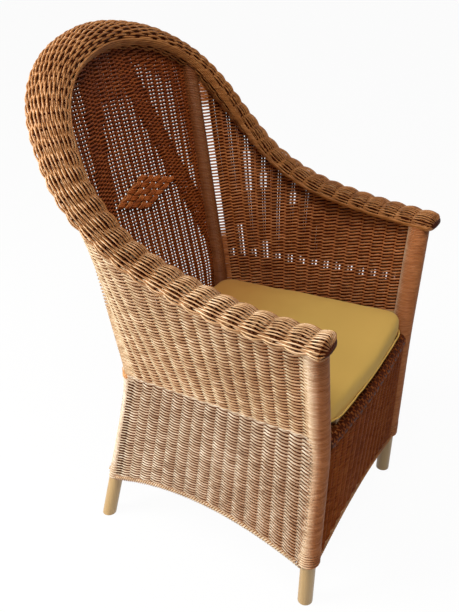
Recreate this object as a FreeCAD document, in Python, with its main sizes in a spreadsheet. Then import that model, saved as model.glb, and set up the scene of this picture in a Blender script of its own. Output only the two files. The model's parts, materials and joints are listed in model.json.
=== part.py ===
import FreeCAD, Part
import math
import os

# Woven reed armchair: bent pole frame, woven walls on upright stakes, rolled rim, loose cushion.
# Millimetres. +Z up, the chair faces -Y, its right-hand side (for the sitter) is -X.
# The origin is on the floor, under the middle of the chair's outline.

Vec = FreeCAD.Vector
UP = Vec(0, 0, 1)

# Driving sizes: name, value, what it sets

SIZES = [
    ("post_dia", 30, "bare pole of each leg and post"),
    ("front_foot_half", 223, "half the distance between the front feet"),
    ("front_foot_y", -275, "front feet, fore and aft"),
    ("front_bend_half", 219, "half the distance between the front posts at their bend"),
    ("front_bend_y", -289, "front posts at their bend"),
    ("front_bend_height", 388, "height of the front posts' bend"),
    ("front_lean", 0.174, "outward lean of the front posts above the bend"),
    ("front_reach", 0.018, "forward lean of the front posts above the bend"),
    ("rear_foot_half", 218, "half the distance between the rear feet"),
    ("rear_foot_y", 221, "rear feet, fore and aft"),
    ("rear_bend_half", 175, "half the distance between the rear posts at their bend"),
    ("rear_bend_y", 134, "rear posts at their bend"),
    ("rear_bend_height", 391, "height of the rear posts' bend"),
    ("rear_lean", 0.06, "outward lean of the rear posts above the bend"),
    ("rear_recline", 0.168, "backward lean of the rear posts above the bend"),
    ("rear_post_height", 925, "height the rear posts run up to, unless the rim stops them"),
    ("bend_radius", 500, "radius of the bends in the posts"),
    ("rail_dia", 22, "side seat rails"),
    ("cross_rail_dia", 24, "front and rear seat rails"),
    ("stretcher_dia", 20, "lower stretchers"),
    ("front_rail_height", 382, "front seat rail"),
    ("side_rail_front_rise", 42, "side seat rails above the front rail, at the front posts"),
    ("side_rail_rear_rise", 9, "side seat rails above the front rail, at the rear posts"),
    ("front_rail_bow", 11, "forward bow of the front seat rail"),
    ("binding_thick", 4, "plaited binding round the front seat rail"),
    ("stretcher_height", 200, "middle height of the lower stretchers"),
    ("stretcher_stagger", 15, "side stretchers above, cross stretchers below that height"),
    ("weave_thick", 10, "woven walls"),
    ("stake_dia", 5, "upright stakes inside the weave"),
    ("side_stakes", 15, "stakes in each side wall"),
    ("back_stakes", 9, "stakes in the middle of the back"),
    ("back_open_pitch", 38, "rows of openings in the back, row to row"),
    ("back_open_height", 24, "upright size of those openings"),
    ("back_open_share", 0.48, "share of the space between two stakes that an opening takes"),
    ("back_open_top", 880, "height above which the back is close"),
    ("band_top_half", 74, "close bands of the back: half their spread at that height"),
    ("band_slope", 0.3, "outward lean of those bands, downward"),
    ("band_width", 32, "each of those bands"),
    ("diamond_half_width", 103, "diamond in the middle of the back"),
    ("diamond_half_height", 35, "diamond in the middle of the back"),
    ("diamond_height", 703, "middle of that diamond"),
    ("skirt_stakes", 15, "stakes in the front and rear skirts"),
    ("front_wrap_thick", 7, "winding on the front posts"),
    ("rear_wrap_thick", 3, "winding on the rear posts"),
    ("hem_front_height", 111, "hem at the front posts"),
    ("hem_rear_height", 122, "hem at the rear posts"),
    ("hem_rise", 44, "how far the side hems arch up in the middle"),
    ("cross_hem_rise", 21, "how far the front and rear hems arch up in the middle"),
    ("hem_rod_dia", 9, "rod along each hem"),
    ("rim_half", 283, "half the span of the rolled rim"),
    ("rim_front_y", -316, "front end of the rolled rim, before its rounded nose"),
    ("rim_back_y", 290, "middle of the rolled rim at the top of the back"),
    ("rim_front_height", 632, "middle of the rolled rim at the front of the arms"),
    ("rim_top_height", 999.5, "middle of the rolled rim at the top of the back"),
    ("arm_roll_width", 68, "rolled rim across the arms"),
    ("arm_roll_thick", 30, "rolled rim, upright size on the arms"),
    ("arch_roll_width", 87, "rolled rim, fore and aft at the top"),
    ("arch_roll_thick", 54, "rolled rim, upright size at the top"),
    ("rim_nose", 18, "length of the rounded front ends of the rim"),
    ("rim_pole_dia", 20, "bent pole inside the rolled rim"),
    ("rim_rib_pitch", 31, "swells along the rolled rim, one over each of its ribs"),
    ("rim_rib_rise", 2.5, "height of those swells"),
    ("slat_count", 7, "slats under the cushion"),
    ("slat_width", 36, "each slat"),
    ("slat_thick", 10, "each slat"),
    ("slat_pitch", 46, "slat to slat"),
    ("cushion_thick", 50, "loose cushion"),
    ("cushion_front_half", 197, "half the cushion's width at the front"),
    ("cushion_rear_half", 172, "half the cushion's width at the rear"),
    ("cushion_front_y", -297, "cushion's front corners"),
    ("cushion_rear_y", 128, "cushion's rear edge"),
    ("cushion_bow", 15, "forward bow of the cushion's front edge"),
    ("cushion_corner", 30, "plan radius of the cushion's corners"),
    ("cushion_edge", 13, "rounding of the cushion's edges"),
    ("cover_thick", 2, "cushion cover"),
    ("screw_dia", 4, "frame screws"),
    ("screw_length", 52, "frame screws"),
    ("screw_sink", 4, "depth of the screw heads under the post's surface"),
    ("screw_drop", 7, "front seat rail's screws below its middle, clear of the side rails' screws"),
    ("fit", 0.3, "clearance between pieces that lie against each other"),
]

doc = FreeCAD.newDocument("WovenArmchair")
sheet = doc.addObject("Spreadsheet::Sheet", "Sizes")
for row, (name, value, note) in enumerate(SIZES, start=1):
    sheet.set("A%d" % row, name)
    sheet.set("B%d" % row, str(value))
    sheet.setAlias("B%d" % row, name)
    sheet.set("C%d" % row, note)
doc.recompute()


def size(name):
    return float(sheet.get(name))


FIT = size("fit")
POST_R = size("post_dia") / 2
RAIL_R = size("rail_dia") / 2
CROSS_R = size("cross_rail_dia") / 2
FRONT_WRAP_R = POST_R + size("front_wrap_thick")
REAR_WRAP_R = POST_R + size("rear_wrap_thick")
HALF_WEAVE = size("weave_thick") / 2
SIDES = (("right", -1), ("left", 1))
finished = []


# Document helpers

def keep(obj, label):
    """Marks a document object as one of the chair's pieces."""
    obj.Label = label
    finished.append(obj)
    return obj


def feature(label, shape):
    """A piece whose shape is worked out in code from the sheet's sizes."""
    obj = doc.addObject("Part::Feature", label)
    obj.Shape = shape
    return keep(obj, label)


def rod_object(name, start, end, radius_rule):
    """A round bar from start to end, its radius bound to the sheet."""
    bar = doc.addObject("Part::Cylinder", name)
    bar.setExpression("Radius", radius_rule)
    bar.Height = (end - start).Length
    bar.Placement = FreeCAD.Placement(start, FreeCAD.Rotation(UP, end - start))
    return bar


def cut_object(name, base, tools):
    """base with the tools taken out of it."""
    cut = doc.addObject("Part::Cut", name)
    cut.Base = base
    cut.Tool = tools[0]
    if len(tools) > 1:
        group = doc.addObject("Part::MultiFuse", name + "_tools")
        group.Shapes = tools
        cut.Tool = group
    return cut


# Shape helpers

def mirrored(point, sign):
    return Vec(point.x * sign, point.y, point.z)


def blend(first, last, share):
    return first + (last - first) * share


def lift_to(start, end, height):
    """Point at a height on the line through two points."""
    return start + (end - start) * ((height - start.z) / (end.z - start.z))


def spline(points, parameters=None):
    """Smooth curve through points, from 0 to 1; the points are evenly spaced unless told otherwise."""
    if parameters is None:
        parameters = [i / (len(points) - 1) for i in range(len(points))]
    curve = Part.BSplineCurve()
    curve.interpolate(Points=points, Parameters=parameters)
    return curve


def rod(start, end, radius):
    return Part.makeCylinder(radius, (end - start).Length, start, end - start)


def bent_path(first, corner, last, radius):
    """Two straight runs joined by a tangent arc at the corner."""
    back = (first - corner).normalize()
    ahead = (last - corner).normalize()
    half_turn = (math.pi - back.getAngle(ahead)) / 2
    reach = radius * math.tan(half_turn)
    start = corner + back * reach
    end = corner + ahead * reach
    inward = (back + ahead).normalize()
    middle = corner + inward * (radius / math.cos(half_turn) - radius)
    return Part.Wire([
        Part.makeLine(first, start),
        Part.Arc(start, middle, end).toShape(),
        Part.makeLine(end, last),
    ])


def round_sweep(path, radius):
    """Round bar along a path of straight runs and arcs."""
    first = path.OrderedEdges[0]
    start = first.valueAt(first.FirstParameter)
    section = Part.Wire(Part.makeCircle(radius, start, first.tangentAt(first.FirstParameter)))
    return path.makePipeShell([section], True, False)


def plan_normals(points):
    """Level unit normals of a row of points, to the right of the way they run."""
    normals = []
    for i in range(len(points)):
        run = points[min(i + 1, len(points) - 1)] - points[max(i - 1, 0)]
        normals.append(Vec(run.y, -run.x, 0).normalize())
    return normals


def woven_slab(lower, upper):
    """Solid wall between two matching rows of points, weave_thick through."""
    def both_faces(points):
        shift = plan_normals(points)
        near = [p + n * HALF_WEAVE for p, n in zip(points, shift)]
        far = [p - n * HALF_WEAVE for p, n in zip(points, shift)]
        return near, far

    low_near, low_far = both_faces(lower)
    top_near, top_far = both_faces(upper)
    edges = [spline(row).toShape() for row in (low_near, low_far, top_near, top_far)]
    faces = [
        Part.makeRuledSurface(edges[0], edges[2]),
        Part.makeRuledSurface(edges[1], edges[3]),
        Part.makeRuledSurface(edges[0], edges[1]),
        Part.makeRuledSurface(edges[2], edges[3]),
    ]
    for end in (0, -1):
        low = Part.makeLine(low_near[end], low_far[end])
        top = Part.makeLine(top_near[end], top_far[end])
        faces.append(Part.makeRuledSurface(low, top))
    shell = Part.makeShell(faces)
    shell.sewShape()
    solid = Part.makeSolid(Part.Shell(shell.Faces))
    if solid.Volume < 0:
        solid.reverse()
    return solid


def main_solid(shape):
    return max(shape.Solids, key=lambda s: s.Volume)


# Rolled rim: the middle line and the section along half of it, from the front of an arm to the top
# (across, along, up: shares of the rim's span, depth and rise; turn: way the roll faces, in degrees;
# widen, thicken: shares of the change from the arm's section to the arch's)

RIM_STATIONS = [
    (0.961, 0.000, 0.000, 0, 0.00, 0.00),
    (0.982, 0.224, 0.035, 0, 0.00, 0.00),
    (0.979, 0.437, 0.112, 4, 0.00, 0.00),
    (1.000, 0.609, 0.245, 15, -0.20, 0.10),
    (0.996, 0.741, 0.445, 35, -0.20, 0.40),
    (0.922, 0.828, 0.638, 52, 0.00, 0.60),
    (0.792, 0.894, 0.786, 68, 0.35, 0.70),
    (0.590, 0.947, 0.898, 80, 0.70, 0.75),
    (0.336, 0.982, 0.969, 87, 0.95, 0.90),
    (0.000, 1.000, 1.000, 90, 1.00, 1.00),
]


def rim_station(row):
    across, along, up, turn, widen, thicken = row
    point = Vec(
        across * size("rim_half"),
        size("rim_front_y") + along * (size("rim_back_y") - size("rim_front_y")),
        size("rim_front_height") + up * (size("rim_top_height") - size("rim_front_height")),
    )
    width = size("arm_roll_width") + widen * (size("arch_roll_width") - size("arm_roll_width"))
    thick = size("arm_roll_thick") + thicken * (size("arch_roll_thick") - size("arm_roll_thick"))
    return point, math.radians(turn), width / 2, thick / 2


half_rim = [rim_station(row) for row in RIM_STATIONS]
full_rim = [(mirrored(p, -1), math.pi - a, w, k) for p, a, w, k in half_rim]
full_rim += half_rim[-2::-1]
LAST = len(full_rim) - 1
steps = [i / LAST for i in range(LAST + 1)]
rim_line = spline([p for p, a, w, k in full_rim], steps)
rim_turn = spline([Vec(i, full_rim[i][1], 0) for i in range(LAST + 1)], steps)
rim_halves = spline([Vec(i, full_rim[i][2], full_rim[i][3]) for i in range(LAST + 1)], steps)


def rim_frame(at):
    """Middle, run, wide half-axis and thin half-axis of the roll at a place along it, 0 to 1."""
    run = Vec(*rim_line.tangent(at)[0]).normalize()
    turn = rim_turn.value(at).y
    halves = rim_halves.value(at)
    out = Vec(math.cos(turn), math.sin(turn), 0)
    wide = (out - run * out.dot(run)).normalize()
    return rim_line.value(at), run, wide * halves.y, run.cross(wide) * halves.z


def roll_section(at, scale=1.0, shift=0.0, sink=0.0):
    middle, run, wide, thin = rim_frame(at)
    middle = middle + run * shift
    wide = wide * (scale - sink / wide.Length)
    thin = thin * (scale - sink / thin.Length)
    return Part.Wire(Part.Ellipse(middle + wide, middle + thin, middle).toShape())


def in_roll(point):
    """Below 1 inside the rolled rim, 1 on its surface."""
    at = min(max(rim_line.parameter(point), 0), 1)
    middle, run, wide, thin = rim_frame(at)
    arm = point - middle
    return math.hypot(arm.dot(wide) / wide.Length ** 2, arm.dot(thin) / thin.Length ** 2)


def share_to_roll(start, end):
    """Share of the way from start, outside the roll, to end where the roll begins, or 1 if it doesn't."""
    steps_on_way = 40
    inside = [k for k in range(1, steps_on_way + 1) if in_roll(blend(start, end, k / steps_on_way)) < 1]
    if not inside:
        return 1.0
    low, high = (inside[0] - 1) / steps_on_way, inside[0] / steps_on_way
    for i in range(24):
        share = (low + high) / 2
        if in_roll(blend(start, end, share)) > 1:
            low = share
        else:
            high = share
    return low


def reach_under_roll(start, end, radius):
    """End of a round bar that runs from start towards the roll and stops just under it."""
    axis = (end - start).normalize()
    side = axis.cross(Vec(0, 1, 0)).normalize() * radius
    share = 1.0
    for i in range(24):
        turned = FreeCAD.Rotation(axis, i * 15).multVec(side)
        share = min(share, share_to_roll(start + turned, end + turned))
    return start + (end - start) * share - axis * FIT


# Posts

def post_points(sign):
    """Foot, bend and top of the front and rear posts on one side."""
    front_foot = Vec(size("front_foot_half"), size("front_foot_y"), 0)
    front_bend = Vec(size("front_bend_half"), size("front_bend_y"), size("front_bend_height"))
    front_rise = size("rim_front_height") - front_bend.z
    front_top = front_bend + Vec(size("front_lean"), -size("front_reach"), 1) * front_rise
    rear_foot = Vec(size("rear_foot_half"), size("rear_foot_y"), 0)
    rear_bend = Vec(size("rear_bend_half"), size("rear_bend_y"), size("rear_bend_height"))
    rear_rise = size("rear_post_height") - rear_bend.z
    rear_top = rear_bend + Vec(size("rear_lean"), size("rear_recline"), 1) * rear_rise
    front = [mirrored(p, sign) for p in (front_foot, front_bend, front_top)]
    rear = [mirrored(p, sign) for p in (rear_foot, rear_bend, rear_top)]
    return front, rear


def post_at(post, height):
    """Point at a height on a post's two straight runs, taken up to the corner between them."""
    foot, bend, top = post
    if height < bend.z:
        return lift_to(foot, bend, height)
    return lift_to(bend, top, height)


def bend_depth(post):
    """How far the rounded bend of a post stays inside that corner."""
    foot, bend, top = post
    half_turn = (math.pi - (foot - bend).getAngle(top - bend)) / 2
    return size("bend_radius") * (1 / math.cos(half_turn) - 1)


def on_post(post, height):
    """Point on a post's centre line at a height, the rounded bend included."""
    bend = bent_path(*post, size("bend_radius")).OrderedEdges[1]
    low, high = sorted((bend.FirstParameter, bend.LastParameter), key=lambda at: bend.valueAt(at).z)
    if not bend.valueAt(low).z < height < bend.valueAt(high).z:
        return post_at(post, height)
    for i in range(40):
        middle = (low + high) / 2
        if bend.valueAt(middle).z < height:
            low = middle
        else:
            high = middle
    return bend.valueAt(middle)


POSTS = {}
for side, sign in SIDES:
    POSTS["front_" + side], POSTS["rear_" + side] = post_points(sign)

floor_block = doc.addObject("Part::Box", "floor_block")
floor_block.Length = 2000
floor_block.Width = 2000
floor_block.Height = 200
floor_block.Placement.Base = Vec(-1000, -1000, -200)

post_sweeps = {}
for name, (foot, bend, top) in POSTS.items():
    below_floor = foot + (foot - bend).normalize() * POST_R
    post_end = reach_under_roll(bend, top, POST_R)
    spine = doc.addObject("Part::Feature", name + "_spine")
    spine.Shape = bent_path(below_floor, bend, post_end, size("bend_radius"))
    section = doc.addObject("Part::Circle", name + "_section")
    section.setExpression("Radius", "Sizes.post_dia / 2")
    seam = FreeCAD.Rotation(UP, math.degrees(math.atan2(foot.y, foot.x)))
    section.Placement = FreeCAD.Placement(below_floor, FreeCAD.Rotation(UP, bend - foot) * seam)
    sweep = doc.addObject("Part::Sweep", name + "_sweep")
    sweep.Sections = [section]
    sweep.Spine = (spine, ["Edge1", "Edge2", "Edge3"])
    sweep.Solid = True
    post_sweeps[name] = sweep


# Seat rails and stretchers: round bars from post to post, shaped to the posts at their ends

SIDE_FRONT_HEIGHT = size("front_rail_height") + size("side_rail_front_rise")
SIDE_REAR_HEIGHT = size("front_rail_height") + size("side_rail_rear_rise")
rail_lines = {}
for side, sign in SIDES:
    front, rear = POSTS["front_" + side], POSTS["rear_" + side]
    rail_lines[side + "_seat_rail"] = (
        "front_" + side, "rear_" + side,
        on_post(front, SIDE_FRONT_HEIGHT),
        on_post(rear, SIDE_REAR_HEIGHT),
        "Sizes.rail_dia / 2",
    )
    upper = size("stretcher_height") + size("stretcher_stagger")
    rail_lines[side + "_stretcher"] = (
        "front_" + side, "rear_" + side,
        post_at(front, upper), post_at(rear, upper),
        "Sizes.stretcher_dia / 2",
    )

REAR_RAIL_HEIGHT = size("front_rail_height") + size("binding_thick")
BINDING_R = CROSS_R + size("binding_thick")
FRONT_OUT = BINDING_R - HALF_WEAVE
behind_skirt = max(size("stretcher_dia") / 2 + HALF_WEAVE + 2 * FIT - FRONT_OUT, 0)
lower = size("stretcher_height") - size("stretcher_stagger")
for end, height, set_back, radius_rule, label in (
    ("rear", REAR_RAIL_HEIGHT, 0, "Sizes.cross_rail_dia / 2", "rear_seat_rail"),
    ("front", lower, behind_skirt, "Sizes.stretcher_dia / 2", "front_stretcher"),
    ("rear", lower, 0, "Sizes.stretcher_dia / 2", "rear_stretcher"),
):
    shift = Vec(0, set_back, 0)
    rail_lines[label] = (
        end + "_right", end + "_left",
        on_post(POSTS[end + "_right"], height) + shift, on_post(POSTS[end + "_left"], height) + shift,
        radius_rule,
    )

front_rail_ends = [on_post(POSTS["front_" + side], size("front_rail_height")) for side, sign in SIDES]
front_rail_middle = (front_rail_ends[0] + front_rail_ends[1]) * 0.5 - Vec(0, size("front_rail_bow"), 0)
front_rail_arc = Part.Arc(front_rail_ends[0], front_rail_middle, front_rail_ends[1])


# Screws through the posts into the ends of the rails

def screw_shapes(start, direction):
    """Screw with its head sunk in the post, and the hole it needs."""
    radius = size("screw_dia") / 2
    head = start - direction * (POST_R - size("screw_sink"))
    length = size("screw_length")
    body = Part.makeCylinder(radius * 1.9, radius * 1.4, head, direction)
    body = body.fuse(Part.makeCylinder(radius, length, head, direction)).removeSplitter()
    outside = head - direction * POST_R
    hole = Part.makeCylinder(radius * 1.9 + FIT, POST_R + radius * 1.4, outside, direction)
    hole = hole.fuse(Part.makeCylinder(radius + FIT / 10, length + FIT, head, direction))
    return body, hole.removeSplitter()


screws = {"seat_rail_screws": [], "stretcher_screws": []}
holes_in = {name: [] for name in list(POSTS) + list(rail_lines) + ["front_seat_rail"]}


def drive_screw(group, post, rail, start, direction, drop):
    body, hole = screw_shapes(start - Vec(0, 0, drop), direction)
    screws[group].append(body)
    tool = doc.addObject("Part::Feature", "screw_hole")
    tool.Shape = hole
    holes_in[post].append(tool)
    holes_in[rail].append(tool)


for label, (first, last, start, end, radius_rule) in rail_lines.items():
    group = "stretcher_screws" if "stretcher" in label else "seat_rail_screws"
    drive_screw(group, first, label, start, (end - start).normalize(), 0)
    drive_screw(group, last, label, end, (start - end).normalize(), 0)
for side, end in zip(("front_right", "front_left"), front_rail_ends):
    across = Vec(-end.x, 0, 0).normalize()
    drive_screw("seat_rail_screws", side, "front_seat_rail", end, across, size("screw_drop"))

post_objects = {}
for name in POSTS:
    trimmed = doc.addObject("Part::Cut", name + "_trimmed")
    trimmed.Base = post_sweeps[name]
    trimmed.Tool = floor_block
    post_objects[name] = keep(cut_object(name + "_post", trimmed, holes_in[name]), name + "_post")

rail_objects = {}
front_rail_bar = doc.addObject("Part::Feature", "front_seat_rail_bar")
front_rail_bar.Shape = round_sweep(Part.Wire(front_rail_arc.toShape()), CROSS_R)
bars = {"front_seat_rail": (front_rail_bar, "front_right", "front_left")}
for label, (first, last, start, end, radius_rule) in rail_lines.items():
    bars[label] = (rod_object(label + "_bar", start, end, radius_rule), first, last)
for label, (bar, first, last) in bars.items():
    fitted = cut_object(label + "_fitted", bar, [post_sweeps[first], post_sweeps[last]])
    tools = list(holes_in[label])
    if label in ("right_seat_rail", "left_seat_rail"):
        tools.append(bars["rear_seat_rail"][0])
    rail_objects[label] = keep(cut_object(label, fitted, tools), label)

doc.recompute()
for group, bodies in screws.items():
    feature(group, Part.makeCompound(bodies))


# Rolled rim, woven tightly round a bent pole

def pole_section(at, radius):
    middle, run, wide, thin = rim_frame(at)
    circle = Part.Circle(middle, run, radius)
    circle.XAxis = wide
    return Part.Wire(circle.toShape())


def closed_shell(sections, outward):
    """Shell of straight spans from section to section, its faces turned outward or inward."""
    faces = [Part.makeRuledSurface(a.Edges[0], b.Edges[0]) for a, b in zip(sections, sections[1:])]
    faces += [Part.Face(sections[0]), Part.Face(sections[-1])]
    shell = Part.makeShell(faces)
    shell.sewShape()
    shell = Part.Shell(shell.Faces)
    if (Part.makeSolid(shell).Volume > 0) != outward:
        shell.reverse()
    return shell


places = [i / (3 * LAST) for i in range(3 * LAST + 1)]
rib_count = round(rim_line.length() / size("rim_rib_pitch"))
rib_points = rim_line.toShape().discretize(2 * rib_count + 1)
rib_places = [min(max(rim_line.parameter(p), 0), 1) for p in rib_points]
NOSE = [(1.00, 0.30), (0.80, 0.62), (0.45, 0.90)]
roll_sections = [roll_section(0, scale, -share * size("rim_nose")) for share, scale in NOSE]
for i, at in enumerate(rib_places):
    roll_sections.append(roll_section(at, sink=size("rim_rib_rise") * (i % 2)))
roll_sections += [roll_section(1, scale, share * size("rim_nose")) for share, scale in reversed(NOSE)]
pole_radius = size("rim_pole_dia") / 2
pole_hollow = closed_shell([pole_section(at, pole_radius + FIT / 2) for at in places], False)
roll = Part.makeSolid(Part.makeCompound([closed_shell(roll_sections, True), pole_hollow]))
feature("rim_roll", roll)
feature("rim_pole", Part.makeSolid(closed_shell([pole_section(at, pole_radius) for at in places], True)))


# Windings on the posts, open where the rails pass

def grown_bar(label):
    """A rail with a little room all round."""
    if label == "front_seat_rail":
        return round_sweep(Part.Wire(front_rail_arc.toShape()), CROSS_R + FIT)
    bar = bars[label][0]
    start = bar.Placement.Base
    end = bar.Placement.multVec(Vec(0, 0, bar.Height.Value))
    return rod(start, end, bar.Radius.Value + FIT)


for name, post in POSTS.items():
    foot, bend, top = post
    front_post = name.startswith("front")
    outer = FRONT_WRAP_R if front_post else REAR_WRAP_R
    hem = size("hem_front_height") if front_post else size("hem_rear_height")
    first = post_at(post, hem - size("hem_rod_dia"))
    last = reach_under_roll(bend, top, outer)
    winding = round_sweep(bent_path(first, bend, last, size("bend_radius")), outer)
    past_top = last + (top - bend).normalize() * POST_R
    core = round_sweep(bent_path(foot, bend, past_top, size("bend_radius")), POST_R + FIT / 2)
    notches = [core]
    for label, (bar, first_post, last_post) in bars.items():
        if name in (first_post, last_post):
            notches.append(grown_bar(label))
    feature(name + "_winding", main_solid(winding.cut(notches)))

front_line = front_rail_arc.toShape()
inset = FRONT_WRAP_R + 3 * FIT
ends = [front_line.getParameterByLength(d) for d in (inset, front_line.Length - inset)]
binding = round_sweep(Part.Wire(Part.Edge(front_line.Curve, *ends)), BINDING_R)
core = round_sweep(Part.Wire(front_line), CROSS_R + FIT / 2)
feature("front_rail_binding", main_solid(binding.cut(core)))


# Walls: rows of points for the side, back and skirt walls

SIDE_OUT = RAIL_R + HALF_WEAVE + FIT
CROSS_OUT = CROSS_R + HALF_WEAVE + FIT


def clear_of(radius, offset):
    """Distance to stop short of a post, for a wall that passes it at an offset."""
    inner = max(offset - HALF_WEAVE, 0)
    return math.sqrt(max(radius ** 2 - inner ** 2, 0)) + 3 * FIT


ROW = 13
ROD_TOP = Vec(0, 0, size("hem_rod_dia") / 2 + 2 * FIT)


def row_between(first, last):
    return [blend(first, last, i / (ROW - 1)) for i in range(ROW)]


def up_to_roll(low_row, top_row):
    """Top row brought down to where a wall of full thickness meets the rolled rim."""
    trimmed = []
    for low, top, normal in zip(low_row, top_row, plan_normals(top_row)):
        shifts = [normal * k * HALF_WEAVE for k in (-1, 0, 1)]
        share = min(share_to_roll(low + n, top + n) for n in shifts)
        trimmed.append(blend(low, top, share - 2.5 * FIT / (top - low).Length))
    return trimmed


def hem_arc(start, end, rise):
    """Hem line between two posts, arched up in the middle."""
    return Part.Arc(start, (start + end) * 0.5 + Vec(0, 0, rise), end).toShape()


def shortened(low, top):
    """Stake between two points, held back a little at both ends."""
    back = (top - low).normalize() * size("stake_dia") / 2
    return low + back, top - back


walls = {}
stake_lines = {}
for side, sign in SIDES:
    front, rear = post_points(1)
    rail_start = on_post(front, SIDE_FRONT_HEIGHT)
    rail_end = on_post(rear, SIDE_REAR_HEIGHT)
    run = Vec(rail_end.x - rail_start.x, rail_end.y - rail_start.y, 0).normalize()
    out = Vec(run.y, -run.x, 0) * SIDE_OUT
    front_stop = out + run * clear_of(FRONT_WRAP_R, SIDE_OUT)
    rear_stop = out - run * clear_of(REAR_WRAP_R, SIDE_OUT)

    waist = row_between(rail_start + front_stop, rail_end + rear_stop - run * bend_depth(rear))
    tops = [post_at(front, size("rim_front_height")) + front_stop]
    for i in (1, 2, 3, 4):
        point, turn, width, thick = half_rim[i]
        reach = size("weave_thick") * (0.6 if i < 4 else 1.2)
        tops.append(point + Vec(math.cos(turn), math.sin(turn), 0) * reach)
    tops.append(post_at(rear, half_rim[6][0].z - HALF_WEAVE) + rear_stop)
    top_line = spline(tops, [0, 0.2, 0.48, 0.70, 0.853, 1])
    rim_edge = up_to_roll(waist, [top_line.value(i / (ROW - 1)) for i in range(ROW)])

    hem_start = post_at(front, size("hem_front_height")) + front_stop
    hem_end = post_at(rear, size("hem_rear_height")) + rear_stop
    hem_curve = hem_arc(mirrored(hem_start, sign), mirrored(hem_end, sign), size("hem_rise"))
    hem = hem_arc(hem_start, hem_end, size("hem_rise")).discretize(ROW)
    gap = Vec(0, 0, FIT / 2)

    def here(points, shift=Vec(0, 0, 0)):
        return [mirrored(p + shift, sign) for p in points]

    walls[side + "_side_weave"] = woven_slab(here(waist, gap), here(rim_edge))
    walls[side + "_skirt_weave"] = woven_slab(here(hem, ROD_TOP), here(waist, gap * -1))
    count = int(size("side_stakes"))
    waist_line, hem_line = spline(here(waist)), spline(here(hem, ROD_TOP))
    rim_edge_line = spline(here(rim_edge))
    shares = [(i + 0.5) / count for i in range(count)]
    stake_lines[side + "_side_stakes"] = [
        shortened(waist_line.value(s), rim_edge_line.value(s)) for s in shares]
    stake_lines[side + "_skirt_stakes"] = [
        shortened(hem_line.value(s), waist_line.value(s)) for s in shares]
    feature(side + "_hem_rod", round_sweep(Part.Wire(hem_curve), size("hem_rod_dia") / 2))

# Back wall: straight at the seat, bowed at the top, where it ends inside the rolled rim
rear = POSTS["rear_left"]
seat_corner = on_post(rear, REAR_RAIL_HEIGHT)
back_low = row_between(
    Vec(clear_of(REAR_WRAP_R, CROSS_OUT) - seat_corner.x, seat_corner.y + CROSS_OUT, seat_corner.z),
    Vec(seat_corner.x - clear_of(REAR_WRAP_R, CROSS_OUT), seat_corner.y + CROSS_OUT, seat_corner.z))
corner = post_at(rear, blend(half_rim[6][0], half_rim[7][0], 0.35).z)
half_tops = [corner - Vec(REAR_WRAP_R + HALF_WEAVE, 0, 0)]
for i, share in ((8, -0.15), (9, -0.25)):
    point, turn, width, thick = half_rim[i]
    half_tops.append(point + Vec(math.cos(turn), math.sin(turn), 0) * width * share)
tops = [mirrored(p, -1) for p in half_tops] + half_tops[-2::-1]
top_line = spline(tops, [(p.x / tops[-1].x + 1) / 2 for p in tops])
back_low = [p + Vec(0, 0, FIT / 2) for p in back_low]
back_top = up_to_roll(back_low, [top_line.value(i / (ROW - 1)) for i in range(ROW)])
back_slab = woven_slab(back_low, back_top)


def back_stake(low_x, top_x):
    low = Vec(low_x, back_low[0].y, back_low[0].z)
    top = top_line.value((top_x / tops[-1].x + 1) / 2)
    return shortened(low, blend(low, top, share_to_roll(low, top)))


# upright stakes in the middle of the back, and leaning ones beside the posts
count = int(size("back_stakes"))
middle_half = 0.62 * back_low[-1].x
stake_lines["back_stakes"] = []
for i in range(count):
    x = middle_half * (2 * i / (count - 1) - 1)
    stake_lines["back_stakes"].append(back_stake(x, x))
for i in (1, 2, 3, 4):
    low_x = blend(middle_half, back_low[-1].x, i / 4.6)
    top_x = blend(middle_half, tops[-1].x, i / 4.6)
    stake_lines["back_stakes"].append(back_stake(low_x, top_x))
    stake_lines["back_stakes"].append(back_stake(-low_x, -top_x))


# Open work of the back: rows of openings between the stakes, with two close bands and a diamond left whole

def is_close(x, z):
    """Whether the back is woven close at a place."""
    band = size("band_top_half") + size("band_slope") * (size("back_open_top") - z)
    in_band = abs(abs(x) - band) < size("band_width") / 2
    across, up = x / size("diamond_half_width"), (z - size("diamond_height")) / size("diamond_half_height")
    return in_band or abs(across) + abs(up) < 1 or z > size("back_open_top")


def opening(left, right, height):
    """Box through the back between two stakes, or nothing where the back is close."""
    wall = blend(lift_to(*left, height), lift_to(*right, height), 0.5)
    gap = lift_to(*right, height).x - lift_to(*left, height).x
    width = size("back_open_share") * (gap - size("stake_dia"))
    tall, deep = size("back_open_height"), 6 * size("weave_thick")
    corners = [(wall.x + i * width / 2, height + k * tall / 2) for i in (-1, 0, 1) for k in (-1, 0, 1)]
    if any(is_close(x, z) for x, z in corners):
        return None
    return Part.makeBox(width, deep, tall, wall - Vec(width / 2, deep / 2, tall / 2))


openings = []
in_order = sorted(stake_lines["back_stakes"], key=lambda ends: ends[0].x)
open_rows = int((size("back_open_top") - back_low[0].z) / size("back_open_pitch"))
for left, right in zip(in_order, in_order[1:]):
    for i in range(open_rows):
        hole = opening(left, right, back_low[0].z + (i + 0.75) * size("back_open_pitch"))
        if hole:
            openings.append(hole)
walls["back_weave"] = main_solid(back_slab.cut(Part.makeCompound(openings))) if openings else back_slab

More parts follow.
